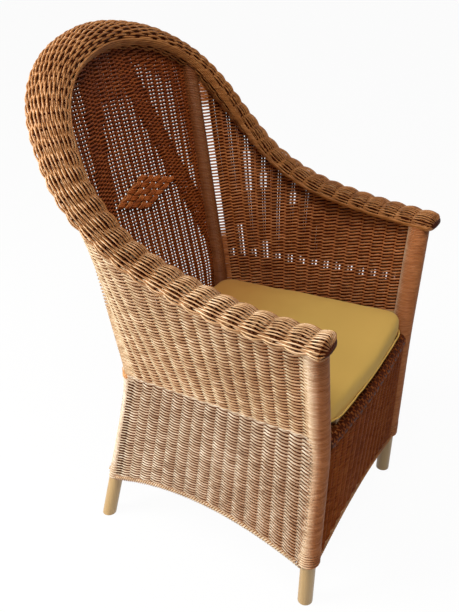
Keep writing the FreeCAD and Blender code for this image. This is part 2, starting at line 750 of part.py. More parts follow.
# Front and rear skirts
under_binding = math.sqrt(BINDING_R ** 2 - (FRONT_OUT - HALF_WEAVE) ** 2) + 3 * FIT
for end, outward, offset, top_z, bow, hem_z, wrap_r in (
    ("front", -1, FRONT_OUT, size("front_rail_height") - under_binding, size("front_rail_bow"),
     size("hem_front_height"), FRONT_WRAP_R),
    ("rear", 1, CROSS_OUT, REAR_RAIL_HEIGHT - FIT / 2, 0, size("hem_rear_height"), REAR_WRAP_R),
):
    post = POSTS[end + "_left"]
    stop = clear_of(wrap_r, offset)

    def skirt_corner(height):
        corner = on_post(post, height)
        return Vec(corner.x - stop, corner.y + outward * offset, height)

    top_end, hem_end = skirt_corner(top_z), skirt_corner(hem_z)
    top_row = row_between(mirrored(top_end, -1), top_end)
    if bow > 0:
        bowed = Vec(0, top_end.y + outward * bow, top_z)
        top_row = Part.Arc(top_row[0], bowed, top_row[-1]).toShape().discretize(ROW)
    hem_curve = hem_arc(mirrored(hem_end, -1), hem_end, size("cross_hem_rise"))
    low_row = [p + ROD_TOP for p in hem_curve.discretize(ROW)]
    walls[end + "_skirt_weave"] = woven_slab(low_row, top_row)
    low_line, high_line = spline(low_row), spline(top_row)
    count = int(size("skirt_stakes"))
    shares = [(i + 0.5) / count for i in range(count)]
    stake_lines[end + "_skirt_stakes"] = [shortened(low_line.value(s), high_line.value(s)) for s in shares]
    feature(end + "_hem_rod", round_sweep(Part.Wire(hem_curve), size("hem_rod_dia") / 2))

for label, lines in stake_lines.items():
    wall = label.replace("_stakes", "_weave")
    stakes = [rod(low, top, size("stake_dia") / 2) for low, top in lines]
    feature(wall, walls[wall])
    feature(label, Part.makeCompound(stakes))


# Seat slats and loose cushion

slat_low = size("front_rail_height") + CROSS_R + size("binding_thick") + FIT
slat_front = front_rail_ends[0].y - CROSS_R / 2
slat_back = on_post(POSTS["rear_left"], REAR_RAIL_HEIGHT).y + CROSS_R / 2
for i in range(int(size("slat_count"))):
    slat = doc.addObject("Part::Box", "seat_slat_%d" % (i + 1))
    slat.setExpression("Length", "Sizes.slat_width")
    slat.setExpression("Height", "Sizes.slat_thick")
    slat.Width = slat_back - slat_front
    middle = (i - (size("slat_count") - 1) / 2) * size("slat_pitch")
    slat.Placement.Base = Vec(middle - size("slat_width") / 2, slat_front, slat_low)
    keep(slat, "seat_slat_%d" % (i + 1))

cushion_low = slat_low + size("slat_thick") + FIT


def cushion_block(inset):
    """Cushion's body in plan: tapered, with a bowed front and round corners."""
    front = size("cushion_front_y") + inset
    rear = size("cushion_rear_y") - inset
    front_half = size("cushion_front_half") - inset
    rear_half = size("cushion_rear_half") - inset
    corners = [
        Vec(-front_half, front, inset),
        Vec(front_half, front, inset),
        Vec(rear_half, rear, inset),
        Vec(-rear_half, rear, inset),
    ]
    bow = Part.Arc(corners[0], Vec(0, front - size("cushion_bow"), inset), corners[1]).toShape()
    sides = [Part.makeLine(corners[i], corners[(i + 1) % 4]) for i in (1, 2, 3)]
    outline = Part.Face(Part.Wire([bow] + sides))
    block = outline.extrude(Vec(0, 0, size("cushion_thick") - 2 * inset))
    upright = [e for e in block.Edges if abs(e.tangentAt(e.FirstParameter).z) > 0.99]
    block = block.makeFillet(size("cushion_corner") - inset, upright)
    level = [e for f in block.Faces if abs(f.normalAt(0, 0).z) > 0.99 for e in f.Edges]
    return block.makeFillet(size("cushion_edge") - inset, level)


cover = cushion_block(0)
foam = cushion_block(size("cover_thick"))
lift = FreeCAD.Placement(Vec(0, 0, cushion_low), FreeCAD.Rotation())
cover_object = feature("cushion_cover", cover.cut(foam))
cover_object.Placement = lift
foam_object = feature("cushion_foam", foam)
foam_object.Placement = lift


# Check and write

doc.recompute()
for obj in doc.Objects:
    if "Invalid" in obj.State or "Error" in obj.State:
        raise RuntimeError("%s: %s" % (obj.Label, obj.State))
os.makedirs("parts", exist_ok=True)
for obj in finished:
    shape = obj.Shape
    if shape.isNull() or not shape.isValid() or not shape.Solids:
        raise RuntimeError("%s has no valid solid" % obj.Label)
    shape.exportStep("parts/%s.step" % obj.Label)
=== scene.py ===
import bmesh
import bpy
import json
import math
import numpy as np
from mathutils import Matrix, Vector


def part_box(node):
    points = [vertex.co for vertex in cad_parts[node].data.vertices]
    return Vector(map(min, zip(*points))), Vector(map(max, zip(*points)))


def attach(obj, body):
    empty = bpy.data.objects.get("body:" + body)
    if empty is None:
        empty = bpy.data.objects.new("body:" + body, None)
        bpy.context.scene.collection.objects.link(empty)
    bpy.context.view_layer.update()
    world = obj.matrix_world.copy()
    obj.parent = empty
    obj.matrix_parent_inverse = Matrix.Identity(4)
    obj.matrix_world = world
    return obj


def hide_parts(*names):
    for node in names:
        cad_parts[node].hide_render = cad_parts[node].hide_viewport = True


# Looks of the woven reed armchair: every reed of the walls, rim and windings, the cushion, and the finishes.
# Metres. +Z up, the chair faces -Y, the sitter's right-hand side is -X.
# A share runs from 0 to 1 along a wall, and a place along a wall is counted in stakes.

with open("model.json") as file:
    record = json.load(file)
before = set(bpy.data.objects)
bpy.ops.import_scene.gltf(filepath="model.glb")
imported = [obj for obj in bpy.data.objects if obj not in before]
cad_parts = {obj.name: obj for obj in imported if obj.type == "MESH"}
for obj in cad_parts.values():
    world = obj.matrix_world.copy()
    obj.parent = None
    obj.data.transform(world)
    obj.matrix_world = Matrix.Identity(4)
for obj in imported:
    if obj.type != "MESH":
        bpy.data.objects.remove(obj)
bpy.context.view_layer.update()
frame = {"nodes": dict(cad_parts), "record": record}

SIDES = (("right", -1), ("left", 1))
OUTWARD = {"front": -1, "rear": 1}

# Posts, rails and hems

BEND = {"front": 0.388, "rear": 0.391}
FOOT_AT = {"front": (0.223, -0.275), "rear": (0.218, 0.221)}
BEND_AT = {"front": (0.219, -0.289), "rear": (0.175, 0.134)}
LEAN = {"front": (0.174, -0.018), "rear": (0.060, 0.168)}
BEND_REACH = {"front": 0.046, "rear": 0.104}
HEM_HEIGHT = {"front": 0.111, "rear": 0.122}
SIDE_HEM_RISE = 0.044
CROSS_HEM_RISE = 0.021
HEM_ROD = 0.009
SIDE_RAIL_HEIGHT = {"front": 0.424, "rear": 0.391}
FRONT_RAIL_HEIGHT = 0.382
REAR_RAIL_HEIGHT = 0.386
FRONT_RAIL_BOW = 0.011

# Reeds and stakes of the walls; fillers are dark rods between stakes, painted shade in the gaps of the weave
# (place, thickness share)

ROW_PITCH = 0.00355
REED = 0.0039
WAVE = 0.0034
TWIST = 0.0016
WANDER = 0.0009
OWN_WANDER = 0.00025
STAKE = 0.005
FILLER = 0.0034
FILLERS = [(0.17, 1.5), (0.28, 1.35), (0.39, 1.1), (0.5, 1.0), (0.61, 1.1), (0.72, 1.35), (0.83, 1.5)]
END_FILLERS = [(-0.17, 1.5), (-0.28, 1.35), (-0.39, 1.1), (-0.5, 1.0), (-0.6, 1.0), (-0.7, 1.0)]


def smooth(low, high, value):
    """0 at low, 1 at high, smooth between; low may be above high."""
    t = np.clip((np.asarray(value, float) - low) / (high - low), 0, 1)
    return t * t * (3 - 2 * t)


def unit(vectors):
    return vectors / np.linalg.norm(vectors, axis=-1, keepdims=True)


def catmull(table, at):
    """Smooth run through the rows of a table, at places counted in rows."""
    table = np.asarray(table, float)
    last = len(table) - 1
    at = np.clip(np.asarray(at, float), 0, last)
    i = np.minimum(at.astype(int), last - 1)
    f = (at - i)[:, None]
    b = table[i]
    c = table[i + 1]
    a = np.where((i > 0)[:, None], table[np.maximum(i - 1, 0)], 2 * b - c)
    d = np.where((i < last - 1)[:, None], table[np.minimum(i + 2, last)], 2 * c - b)
    second = a - 2.5 * b + 2 * c - d / 2
    third = 1.5 * (b - c) + (d - a) / 2
    return b + f * (c - a) / 2 + f ** 2 * second + f ** 3 * third


def between(ends, share):
    return ends[0] + (ends[1] - ends[0]) * share[:, None]


def arch(share):
    """0 at both ends of a run, 1 in its middle."""
    return 4 * share * (1 - share)


# Posts

def post_centre(end, sign, height):
    """Points on a post's centre line at the given heights."""
    z = np.asarray(height, float)
    rise = z - BEND[end]
    reach = BEND_REACH[end]
    points = []
    for axis in (0, 1):
        below = (BEND_AT[end][axis] - FOOT_AT[end][axis]) / BEND[end]
        turn = LEAN[end][axis] - below
        in_bend = turn * (rise + reach) ** 2 / (4 * reach)
        past_bend = turn * np.maximum(rise, 0)
        bent = np.where(np.abs(rise) < reach, in_bend, past_bend)
        points.append(BEND_AT[end][axis] + below * rise + bent)
    return np.stack([points[0] * sign, points[1], z], axis=-1)


def post_at(end, height):
    """Point on the left-hand post's centre line at one height."""
    return post_centre(end, 1, np.array([height]))[0]


# Rolled rim: middle line and section (across, along, up, turn in degrees, half width, half thickness)

RIM_TABLE = [
    (0.272, -0.316, 0.6320, 0, 0.0340, 0.0150),
    (0.278, -0.180, 0.6449, 0, 0.0340, 0.0150),
    (0.277, -0.051, 0.6732, 4, 0.0340, 0.0150),
    (0.283, 0.053, 0.7220, 15, 0.0321, 0.0162),
    (0.282, 0.133, 0.7955, 35, 0.0321, 0.0198),
    (0.261, 0.186, 0.8665, 52, 0.0340, 0.0222),
    (0.224, 0.226, 0.9209, 68, 0.0373, 0.0234),
    (0.167, 0.258, 0.9620, 80, 0.0407, 0.0240),
    (0.095, 0.279, 0.9881, 87, 0.0430, 0.0258),
    (0.000, 0.290, 0.9995, 90, 0.0435, 0.0270),
]
RIGHT_HALF = [(-x, y, z, 180 - turn, wide, thick) for x, y, z, turn, wide, thick in RIM_TABLE]
RIM = np.array(RIGHT_HALF + RIM_TABLE[-2::-1])
RIM[:, 3] = np.radians(RIM[:, 3])
RIM_LAST = len(RIM) - 1
ARM_RIB_PITCH = 0.036
TOP_RIB_PITCH = 0.025
PITCH_CHANGE = (3.0, 6.5)


def rim_frame(at):
    """Middle, run, wide and thin directions, half width and half thickness along the rim."""
    rows = catmull(RIM, at)
    step = 0.01
    run = unit(catmull(RIM, at + step)[:, :3] - catmull(RIM, at - step)[:, :3])
    out = np.stack([np.cos(rows[:, 3]), np.sin(rows[:, 3]), np.zeros(len(rows))], axis=1)
    wide = unit(out - run * np.sum(out * run, axis=1, keepdims=True))
    return rows[:, :3], run, wide, np.cross(run, wide), rows[:, 4:5], rows[:, 5:6]


def rib_pitch(at):
    """Space between two ribs of the rim: wide along the arms, closer over the top of the back."""
    from_top = np.abs(at - RIM_LAST / 2)
    return TOP_RIB_PITCH + (ARM_RIB_PITCH - TOP_RIB_PITCH) * smooth(*PITCH_CHANGE, from_top)


def rim_places(per_rib):
    """Places along the rim, a number of them to each rib, and the ribs counted up to each place."""
    fine = np.linspace(0, RIM_LAST, 2000)
    middle = catmull(RIM, fine)[:, :3]
    steps = np.linalg.norm(np.diff(middle, axis=0), axis=1) / rib_pitch(fine[1:])
    ribs = np.concatenate([[0], np.cumsum(steps)])
    even = np.linspace(0, ribs[-1], int(round(ribs[-1])) * per_rib + 1)
    return np.interp(even, ribs, fine), even


# Pieces

def finish_piece(piece, material, nodes=(), body="frame"):
    piece.data.materials.clear()
    piece.data.materials.append(material)
    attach(piece, body)
    if nodes:
        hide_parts(*nodes)
    return piece


def reeds(name, lines, thick, sides=6):
    """One piece made of round reeds; each line is its points and its share of the thickness."""
    data = bpy.data.curves.new(name, "CURVE")
    data.dimensions = "3D"
    data.bevel_depth = thick / 2
    data.bevel_resolution = sides // 2 - 2
    data.use_fill_caps = True
    for points, share in lines:
        run = data.splines.new("POLY")
        run.points.add(len(points) - 1)
        corners = np.column_stack([points, np.ones(len(points))])
        run.points.foreach_set("co", corners.ravel())
        run.points.foreach_set("radius", np.broadcast_to(share, (len(points),)).astype(float))
    piece = bpy.data.objects.new(name, data)
    bpy.context.scene.collection.objects.link(piece)
    return piece


def kept_runs(points, keep, thick=1):
    """The stretches of a line that are kept, each a line of its own."""
    runs = []
    current = []
    for point, kept in zip(points, keep):
        if kept:
            current.append(point)
        elif current:
            runs.append(current)
            current = []
    runs.append(current)
    return [(np.array(run), thick) for run in runs if len(run) > 1]


# Weave of the walls: two strands twist round each other in each pair of rows

def over_and_under(place, row, count):
    """Sideways share of a strand at its places: over one stake, under the next, straight past the last."""
    woven = (place > -1.5) & (place < count - 0.5)
    return np.where(woven, np.cos(math.pi * (place + row)), 0)


def twined(row, place, count, bare):
    """Rise of a strand from its pair's middle, half a turn from stake to stake, less where it lies bare."""
    turn = math.pi * (np.minimum(place, count - 0.5) + row)
    return TWIST * np.sin(turn) * (1 - BARE_STRAIGHTER * bare)


def pair_middle(row):
    """Middle of the pair that a row belongs to, counted in rows."""
    return row // 2 * 2 + 1


def hand_wander(pair, place):
    """Small ups and downs of a pair laid by hand, alike in pairs that lie close together."""
    slow = np.sin(place * 0.9 + pair * 0.13) * np.sin(place * 0.37 + pair * 0.055 + 1.0)
    own = np.sin(place * 1.7 + pair * 2.4) * np.sin(pair * 1.3)
    return WANDER * slow + OWN_WANDER * own


def filler_places(count, slit=False):
    """Places and thickness shares of the fillers that stop one seeing through close weave."""
    places = END_FILLERS + [(i + part, share) for i in range(count - 1) for part, share in FILLERS]
    if slit:
        places += [(count - 1 + part, share) for part, share in FILLERS[:2]]
    return places


# Side walls, above the seat

SIDE_STAKES = 15
SIDE_FIRST_STAKE = 0.030
SIDE_LAST_STAKE = 0.945
STAKE_UPRIGHT = 0.29
STAKE_STEP = 0.016
FILLER_STEP = 0.004
STAKE_BELOW_RIM = 0.004
ROW_BELOW_RIM = 0.008
WALL_OUT = 0.0163
WALL_STOP = {"front": 0.020, "rear": 0.015}
WALL_RUN = (-0.045, 1.035)
WALL_POINTS = 66
SIDE_TOP_HEIGHT = {"front": 0.632, "rear": 0.916}
SIDE_TOP_PLACES = [0, 0.2, 0.44, 0.62, 0.77, 0.915, 1]
SIDE_TOP_OUT = [0.006, 0.006, 0.006, 0.012, 0.012]

# Slit beside each rear post, where the strands of a pair lie bare

SLIT_TOP = 0.842
SLIT_TOP_FADE = 0.010
SLIT_FOOT = 0.550
SLIT_FOOT_FADE = 0.020
SKIRT_SLIT_TOP = 0.378
SKIRT_SLIT_FADE = 0.008
SLIT_PLACES = (SIDE_STAKES - 0.85, SIDE_STAKES - 0.6)
BARE_STRAIGHTER = 0.7
BARE_THINNER = 0.22
SKIRT_BARE_THINNER = 0.5

# Loose courses: height, half their depth, stake in their middle, stakes they reach to each side

LOOSE_COURSES = [(0.500, 0.006, 7.0, 7.5), (0.680, 0.042, 12.0, 0.6), (0.665, 0.015, 11.0, 0.6),
                 (0.535, 0.028, 13.0, 0.6), (0.515, 0.012, 11.0, 0.6), (0.632, 0.012, 9.0, 0.6)]
NEAR_STAKE = 0.2


def side_ends(sign, level):
    """Front and rear ends of a side wall's row at the posts, at the given heights."""
    run = post_at("rear", SIDE_RAIL_HEIGHT["rear"]) - post_at("front", SIDE_RAIL_HEIGHT["front"])
    run[2] = 0
    run = unit(run)
    out = np.array([run[1], -run[0], 0]) * WALL_OUT
    front = post_at("front", level["front"]) + (out + run * WALL_STOP["front"])
    rear = post_at("rear", level["rear"]) + (out - run * WALL_STOP["rear"])
    return front * (sign, 1, 1), rear * (sign, 1, 1)


def side_top(sign, share):
    """Line inside the rolled rim that the side wall's stakes run up to."""
    first, last = side_ends(sign, SIDE_TOP_HEIGHT)
    points = [first]
    for (x, y, z, turn, _, _), out in zip(RIM_TABLE[1:6], SIDE_TOP_OUT):
        angle = math.radians(turn)
        points.append(np.array([(x + math.cos(angle) * out) * sign, y + math.sin(angle) * out, z]))
    points.append(last)
    return catmull(points, np.interp(share, SIDE_TOP_PLACES, range(len(points))))


def side_surface(sign, share):
    """Low line, upward directions, heights and outward normals of a side wall."""
    ends = side_ends(sign, SIDE_RAIL_HEIGHT)
    low = between(ends, share)
    beyond = share - np.clip(share, 0, 1)
    up = side_top(sign, share) + beyond[:, None] * (ends[1] - ends[0]) - low
    length = np.linalg.norm(up, axis=1)
    up = unit(up)
    normal = unit(np.cross(unit(ends[1] - ends[0]), up)) * sign
    return low, up, length, normal


def stake_shares():
    return np.linspace(SIDE_FIRST_STAKE, SIDE_LAST_STAKE, SIDE_STAKES)


def stake_place(share):
    return (share - SIDE_FIRST_STAKE) / (SIDE_LAST_STAKE - SIDE_FIRST_STAKE) * (SIDE_STAKES - 1)


def share_of_place(place):
    return SIDE_FIRST_STAKE + place / (SIDE_STAKES - 1) * (SIDE_LAST_STAKE - SIDE_FIRST_STAKE)


def upright_shift(share, height):
    """How much more upright than the fan between the posts the stakes stand, as a share."""
    return STAKE_UPRIGHT * np.sin(math.pi * np.clip(share, 0, 1)) ** 2 * height


def upright_line(sign, place, heights):
    """Line of one stake up a side wall, as far as the rim; its shares are found by repetition."""
    foot = share_of_place(place)
    share = np.full(len(heights), foot)
    for _ in range(8):
        share = foot - upright_shift(share, heights)
    low, up, length, _ = side_surface(sign, share)
    line = low + up * heights[:, None]
    return line[heights < length - STAKE_BELOW_RIM]


def bare_by_post(place, height):
    """1 where the strands of a pair draw together beside a rear post, above the seat and below it."""
    under_top = smooth(SLIT_TOP + SLIT_TOP_FADE, SLIT_TOP - SLIT_TOP_FADE, height)
    over_foot = smooth(SLIT_FOOT - SLIT_FOOT_FADE, SLIT_FOOT + SLIT_FOOT_FADE, height)
    in_skirt = smooth(SKIRT_SLIT_TOP + SKIRT_SLIT_FADE, SKIRT_SLIT_TOP - SKIRT_SLIT_FADE, height)
    return smooth(*SLIT_PLACES, place) * np.maximum(under_top * over_foot, in_skirt)


def loose_beside_stake(height, place):
    """Where one can see through a side wall beside its stakes: a low course, and patches near the back."""
    loose = np.zeros(np.shape(height), bool)
    if place > 0 and abs(place - round(place)) < NEAR_STAKE:
        for middle, reach, stake, stakes in LOOSE_COURSES:
            loose |= (np.abs(height - middle) < reach) & (abs(place - stake) < stakes)
    return loose


def side_rows(sign, fine, tall):
    """Rows of a side wall, each from where the wall is as high as the row."""
    lines = []
    row = 0
    height = ROW_PITCH / 2
    while height < tall.max():
        start = fine[np.argmax(tall > height)]
        share = np.linspace(start, fine[-1], max(int((fine[-1] - start) * WALL_POINTS), 4))
        low, up, _, normal = side_surface(sign, share)
        place = stake_place(share + upright_shift(share, height))
        bare = bare_by_post(place, low[:, 2] + height)
        wave = over_and_under(place, row, SIDE_STAKES) * WAVE
        twist = twined(row, place, SIDE_STAKES, bare)
        rise = pair_middle(row) * ROW_PITCH + twist + hand_wander(row // 2, place)
        points = low + up * rise[:, None] + normal * wave[:, None]
        lines.append((points, 1 - BARE_THINNER * bare))
        row += 1
        height += ROW_PITCH
    return lines


def side_wall(side, sign):
    fine = np.linspace(*WALL_RUN, 400)
    tall = side_surface(sign, fine)[2]
    weave = reeds(side + "_side_reeds", side_rows(sign, fine, tall - ROW_BELOW_RIM), REED)
    finish_piece(weave, REED_WALL, [side + "_side_weave"])
    stake_heights = np.arange(0, tall.max(), STAKE_STEP)
    stakes = [(upright_line(sign, place, stake_heights), 1) for place in range(SIDE_STAKES)]
    rods = reeds(side + "_side_stakes_round", stakes, STAKE)
    finish_piece(rods, REED_PAINTED_SHADE, [side + "_side_stakes"])
    filler_heights = np.arange(0, tall.max(), FILLER_STEP)
    fillers = []
    for place, thick in filler_places(SIDE_STAKES, slit=True):
        points = upright_line(sign, place, filler_heights)
        fillers += kept_runs(points, ~loose_beside_stake(points[:, 2], place), thick)
    finish_piece(reeds(side + "_side_fillers", fillers, FILLER), REED_PAINTED_SHADE)


# Skirts, under the seat

SKIRT_ROWS = 76
CROSS_ROWS = 68
CROSS_STAKES = 15
SKIRT_ABOVE_HEM = 0.005
SIDE_SKIRT_RUN = (-0.045, 1.02)
CROSS_RUN = {"front": (-0.045, 1.045), "rear": (0, 1)}
CROSS_OUT = {"front": 0.011, "rear": 0.0173}
CROSS_STOP = {"front": 0.0195, "rear": 0.0105}
CROSS_TOP = {"front": FRONT_RAIL_HEIGHT - 0.0105, "rear": REAR_RAIL_HEIGHT}
CROSS_BOW = {"front": FRONT_RAIL_BOW, "rear": 0}

# Dark rods behind the slit in the side skirts, painted shade seen through the slit

BACKING_RODS = 6
BACKING_PAST_STAKE = 0.02
BACKING_LAST = 1.012
BACKING_INWARD = 0.006
BACKING_THICK = 2.0


def hem_line(ends, rise, share):
    """Arched hem between two posts."""
    line = between(ends, share)
    line[:, 2] += rise * arch(share)
    return line


def skirt_rows(surface, rows, stake_at, run, slit):
    count = len(stake_at)
    share = np.linspace(*run, count * 4 + 10)
    low, top, normal = surface(share)
    place = (share - stake_at[0]) / (stake_at[-1] - stake_at[0]) * (count - 1)
    thick = np.linalg.norm(top - low, axis=1) / rows / ROW_PITCH
    lines = []
    for row in range(rows):
        level = pair_middle(row) / rows
        wave = over_and_under(place, row, count) * WAVE
        points = low + (top - low) * level + normal * wave[:, None]
        points[:, 2] += hand_wander(row // 2, place)
        bare = bare_by_post(place, points[:, 2]) if slit else 0
        points[:, 2] += twined(row, place, count, bare)
        lines.append((points, thick - SKIRT_BARE_THINNER * bare))
    return lines


def skirt_fillers(surface, stake_at, run, slit):
    fillers = []
    for place, thick in filler_places(len(stake_at), slit):
        at = stake_at[0] + place * (stake_at[1] - stake_at[0])
        if at < run[0]:
            continue
        spots = [at] if slit or place > 0 else [at, 1 - at]
        for spot in spots:
            low, top, _ = surface(np.array([spot]))
            fillers.append((np.vstack([low, top]), thick))
    if slit:
        behind = np.linspace(stake_at[-1] + BACKING_PAST_STAKE, BACKING_LAST, BACKING_RODS)
        low, top, normal = surface(behind)
        inward = normal * -BACKING_INWARD
        fillers += [(np.array(ends), BACKING_THICK) for ends in zip(low + inward, top + inward)]
    return fillers


def skirt(name, surface, rows, stake_at, finish, run, slit=False):
    """Woven wall from a hem up; surface gives low line, top line and outward normals at shares."""
    weave = reeds(name + "_reeds", skirt_rows(surface, rows, stake_at, run, slit), REED)
    finish_piece(weave, finish, [name + "_weave"])
    low, top, _ = surface(stake_at)
    rods = reeds(name + "_stakes_round", [(np.array(ends), 1) for ends in zip(low, top)], STAKE)
    finish_piece(rods, REED_PAINTED_SHADE, [name + "_stakes"])
    fillers = reeds(name + "_fillers", skirt_fillers(surface, stake_at, run, slit), FILLER)
    finish_piece(fillers, REED_PAINTED_SHADE)


def side_skirt(side, sign):
    hem_ends = side_ends(sign, HEM_HEIGHT)
    waist_ends = side_ends(sign, SIDE_RAIL_HEIGHT)
    along = unit(waist_ends[1] - waist_ends[0])
    normal = unit(np.array([along[1] * sign, -along[0] * sign, 0]))

    def surface(share):
        low = hem_line(hem_ends, SIDE_HEM_RISE, share) + (0, 0, SKIRT_ABOVE_HEM)
        return low, between(waist_ends, share), np.tile(normal, (len(share), 1))

    skirt(side + "_skirt", surface, SKIRT_ROWS, stake_shares(), REED_SKIRT, SIDE_SKIRT_RUN, slit=True)


def cross_ends(end, height):
    """Right and left ends of the front or rear skirt at a height."""
    corner = post_at(end, height) + (-CROSS_STOP[end], OUTWARD[end] * CROSS_OUT[end], 0)
    return corner * (-1, 1, 1), corner


def cross_skirt(end):
    """Front or rear skirt."""
    def surface(share):
        low = hem_line(cross_ends(end, HEM_HEIGHT[end]), CROSS_HEM_RISE, share) + (0, 0, SKIRT_ABOVE_HEM)
        top = between(cross_ends(end, CROSS_TOP[end]), share)
        top[:, 1] += OUTWARD[end] * CROSS_BOW[end] * arch(share)
        return low, top, np.tile((0.0, OUTWARD[end], 0.0), (len(share), 1))

    stake_at = (np.arange(CROSS_STAKES) + 0.5) / CROSS_STAKES
    # The front skirt takes the darker painted-shade reed.
    finish = REED_FRONT_PAINTED_SHADE if end == "front" else REED_SKIRT
    skirt(end + "_skirt", surface, CROSS_ROWS, stake_at, finish, CROSS_RUN[end])


# Back: open weave with close bands that lean in to the top, close edges and a plaited diamond

BACK_LOW = 0.388
BACK_TOP = 0.990
BACK_REED = 0.0035
BACK_WAVE = 0.0030
CLOSE_FLATTER = 0.0014
BACK_POINT_STEP = 0.0042
OPEN_SHARE = 1.12
CLOSE_SHARE = 1.16
BEHIND_DIAMOND_THINNER = 0.35
BACK_MIDDLE_Y = 0.154
BACK_RECLINE = 0.191
BACK_BEHIND_POST = 0.004
BACK_FOOT_BEHIND = 0.014
BACK_FOOT_FADE = (0.391, 0.50)
BACK_INSIDE_POST = 0.009
BACK_INSIDE_RIM = 0.004

# Its stakes and fillers, dark as painted shade in the gaps

BACK_STAKE_PITCH = 0.025
INNER_STAKES = 8
OUTER_STAKES = 6
BACK_STAKE = 0.0042
BACK_STAKE_INSET = 0.010
BACK_STAKE_POINTS = 120
BAND_STAKE_INSET = 0.005
BACK_FILLER = 0.0036
BACK_FILLERS = [0.37, 0.5, 0.63]
BACK_FILLER_INSET = 0.004
CLOSE_FILLER_HALF = 0.203
CLOSE_ENOUGH = 0.7
BAND_EDGE_FILLERS = [-0.0065, -0.0020, 0.0020, 0.0065]
BAND_EDGE_CLEAR = 0.01
BAND_EDGE_THICK = 1.2

# Its close parts: bands, strips beside the posts, the top and its shoulders

BAND_HALF = 0.016
BAND_FADE = 0.006
BAND_WAVE_FADE = 0.005
BAND_WAVES = 1.5
BAND_STAKES = (-2 / 3, 0, 2 / 3)
BAND_AT = (0.146, 0.62)
BAND_SLOPE = 0.28
BAND_WIDEST = 0.17
BAND_LEAN = 0.10
STRIP_AT = (0.163, 0.641)
STRIP_SLOPE = 0.04
STRIP_FADE = 0.003
CLOSE_TOP = (0.855, 0.905)
SHOULDER_AT = (0.105, 0.930)
SHOULDER_SLOPE = 0.65
SHOULDER_FADE = 0.012

# The diamond

DIAMOND_MIDDLE = 0.703
DIAMOND_HALF_WIDTH = 0.103
DIAMOND_HALF_HEIGHT = 0.035
DIAMOND_STRANDS = 5
DIAMOND_REED = 0.0038
DIAMOND_REED_GAP = 0.092
DIAMOND_FORWARD = 0.0065
DIAMOND_WAVE = 0.0030
DIAMOND_POINTS = 41


def back_depth(x, z):
    """How far back the back wall is: bowed between the posts, more towards the top."""
    post_y = BEND_AT["rear"][1] + LEAN["rear"][1] * (z - BEND["rear"])
    post_x = BEND_AT["rear"][0] + LEAN["rear"][0] * (z - BEND["rear"])
    middle = BACK_MIDDLE_Y + BACK_RECLINE * (z - BACK_LOW)
    edge = post_y + BACK_BEHIND_POST + BACK_FOOT_BEHIND * (1 - smooth(*BACK_FOOT_FADE, z))
    return middle - (middle - edge) * (x / post_x) ** 2


def back_line(x, z):
    return np.stack([x, back_depth(x, z), z], axis=1)


def back_half(z):
    """Half the width of the back at a height, ending inside the posts' winding or the rim."""
    post = post_at("rear", z)[0] - BACK_INSIDE_POST
    rim = np.interp(z, [row[2] for row in RIM_TABLE[5:]], [row[0] for row in RIM_TABLE[5:]])
    return min(post, rim - BACK_INSIDE_RIM)


def band_middle(z):
    return np.minimum(BAND_AT[0] - BAND_SLOPE * (z - BAND_AT[1]), BAND_WIDEST)


def edge_strip(z):
    return STRIP_AT[0] + STRIP_SLOPE * (z - STRIP_AT[1])


def leaned(x, z):
    """The hand-woven bands lean a little to one side."""
    return x + BAND_LEAN * (z - DIAMOND_MIDDLE)


def in_diamond(x, z):
    return np.abs(x) / DIAMOND_HALF_WIDTH + np.abs(z - DIAMOND_MIDDLE) / DIAMOND_HALF_HEIGHT < 1


def back_closeness(x, z):
    """1 where the weave is close, 0 where it is open."""
    across = np.abs(leaned(x, z))
    edge = band_middle(z)
    band = 1 - smooth(BAND_HALF, BAND_HALF + BAND_FADE, np.abs(across - edge))
    strip = smooth(-STRIP_FADE, STRIP_FADE, across - edge_strip(z))
    inner_top = smooth(*CLOSE_TOP, z) * (across < edge)
    over_shoulder = z - SHOULDER_AT[1] + SHOULDER_SLOPE * (across - SHOULDER_AT[0])
    outer_top = smooth(-SHOULDER_FADE, SHOULDER_FADE, over_shoulder) * (across >= edge)
    return np.maximum.reduce([band, strip, inner_top, outer_top])


def back_wave(x, z, row, half):
    """Sideways share of a reed: stakes are upright in the middle and lean with the posts beside them."""
    across = np.abs(leaned(x, z))
    edge = band_middle(z)
    turn = math.pi * row
    middle = np.cos(math.pi * x / BACK_STAKE_PITCH + turn)
    outer = np.cos(math.pi * (half - np.abs(x)) / BACK_STAKE_PITCH + turn)
    band = np.cos(BAND_WAVES * math.pi * (across - edge) / BAND_HALF + turn)
    fade = smooth(BAND_HALF, BAND_HALF + BAND_WAVE_FADE, np.abs(across - edge))
    beside = np.where(across < edge, middle, outer) * fade
    return np.where(np.abs(across - edge) < BAND_HALF, band, beside)


def back_wall():
    lower = []
    upper = []
    rows = int((BACK_TOP - BACK_LOW) / ROW_PITCH)
    for row in range(rows):
        z = BACK_LOW + (row + 0.5) * ROW_PITCH
        half = back_half(z)
        x = np.linspace(-half, half, max(int(half * 2 / BACK_POINT_STEP), 6))
        close = back_closeness(x, z)
        points = back_line(x, np.full(len(x), z))
        points[:, 1] += back_wave(x, z, row, half) * (BACK_WAVE - CLOSE_FLATTER * close)
        share = OPEN_SHARE + (CLOSE_SHARE - OPEN_SHARE) * close - BEHIND_DIAMOND_THINNER * in_diamond(x, z)
        part = lower if row < rows // 2 else upper
        part.append((points, share))
    finish_piece(reeds("back_reeds_lower", lower, BACK_REED, sides=8), REED_BACK_PAINTED_SHADE, ["back_weave"])
    finish_piece(reeds("back_reeds_upper", upper, BACK_REED, sides=8), REED_BACK_PAINTED_SHADE)


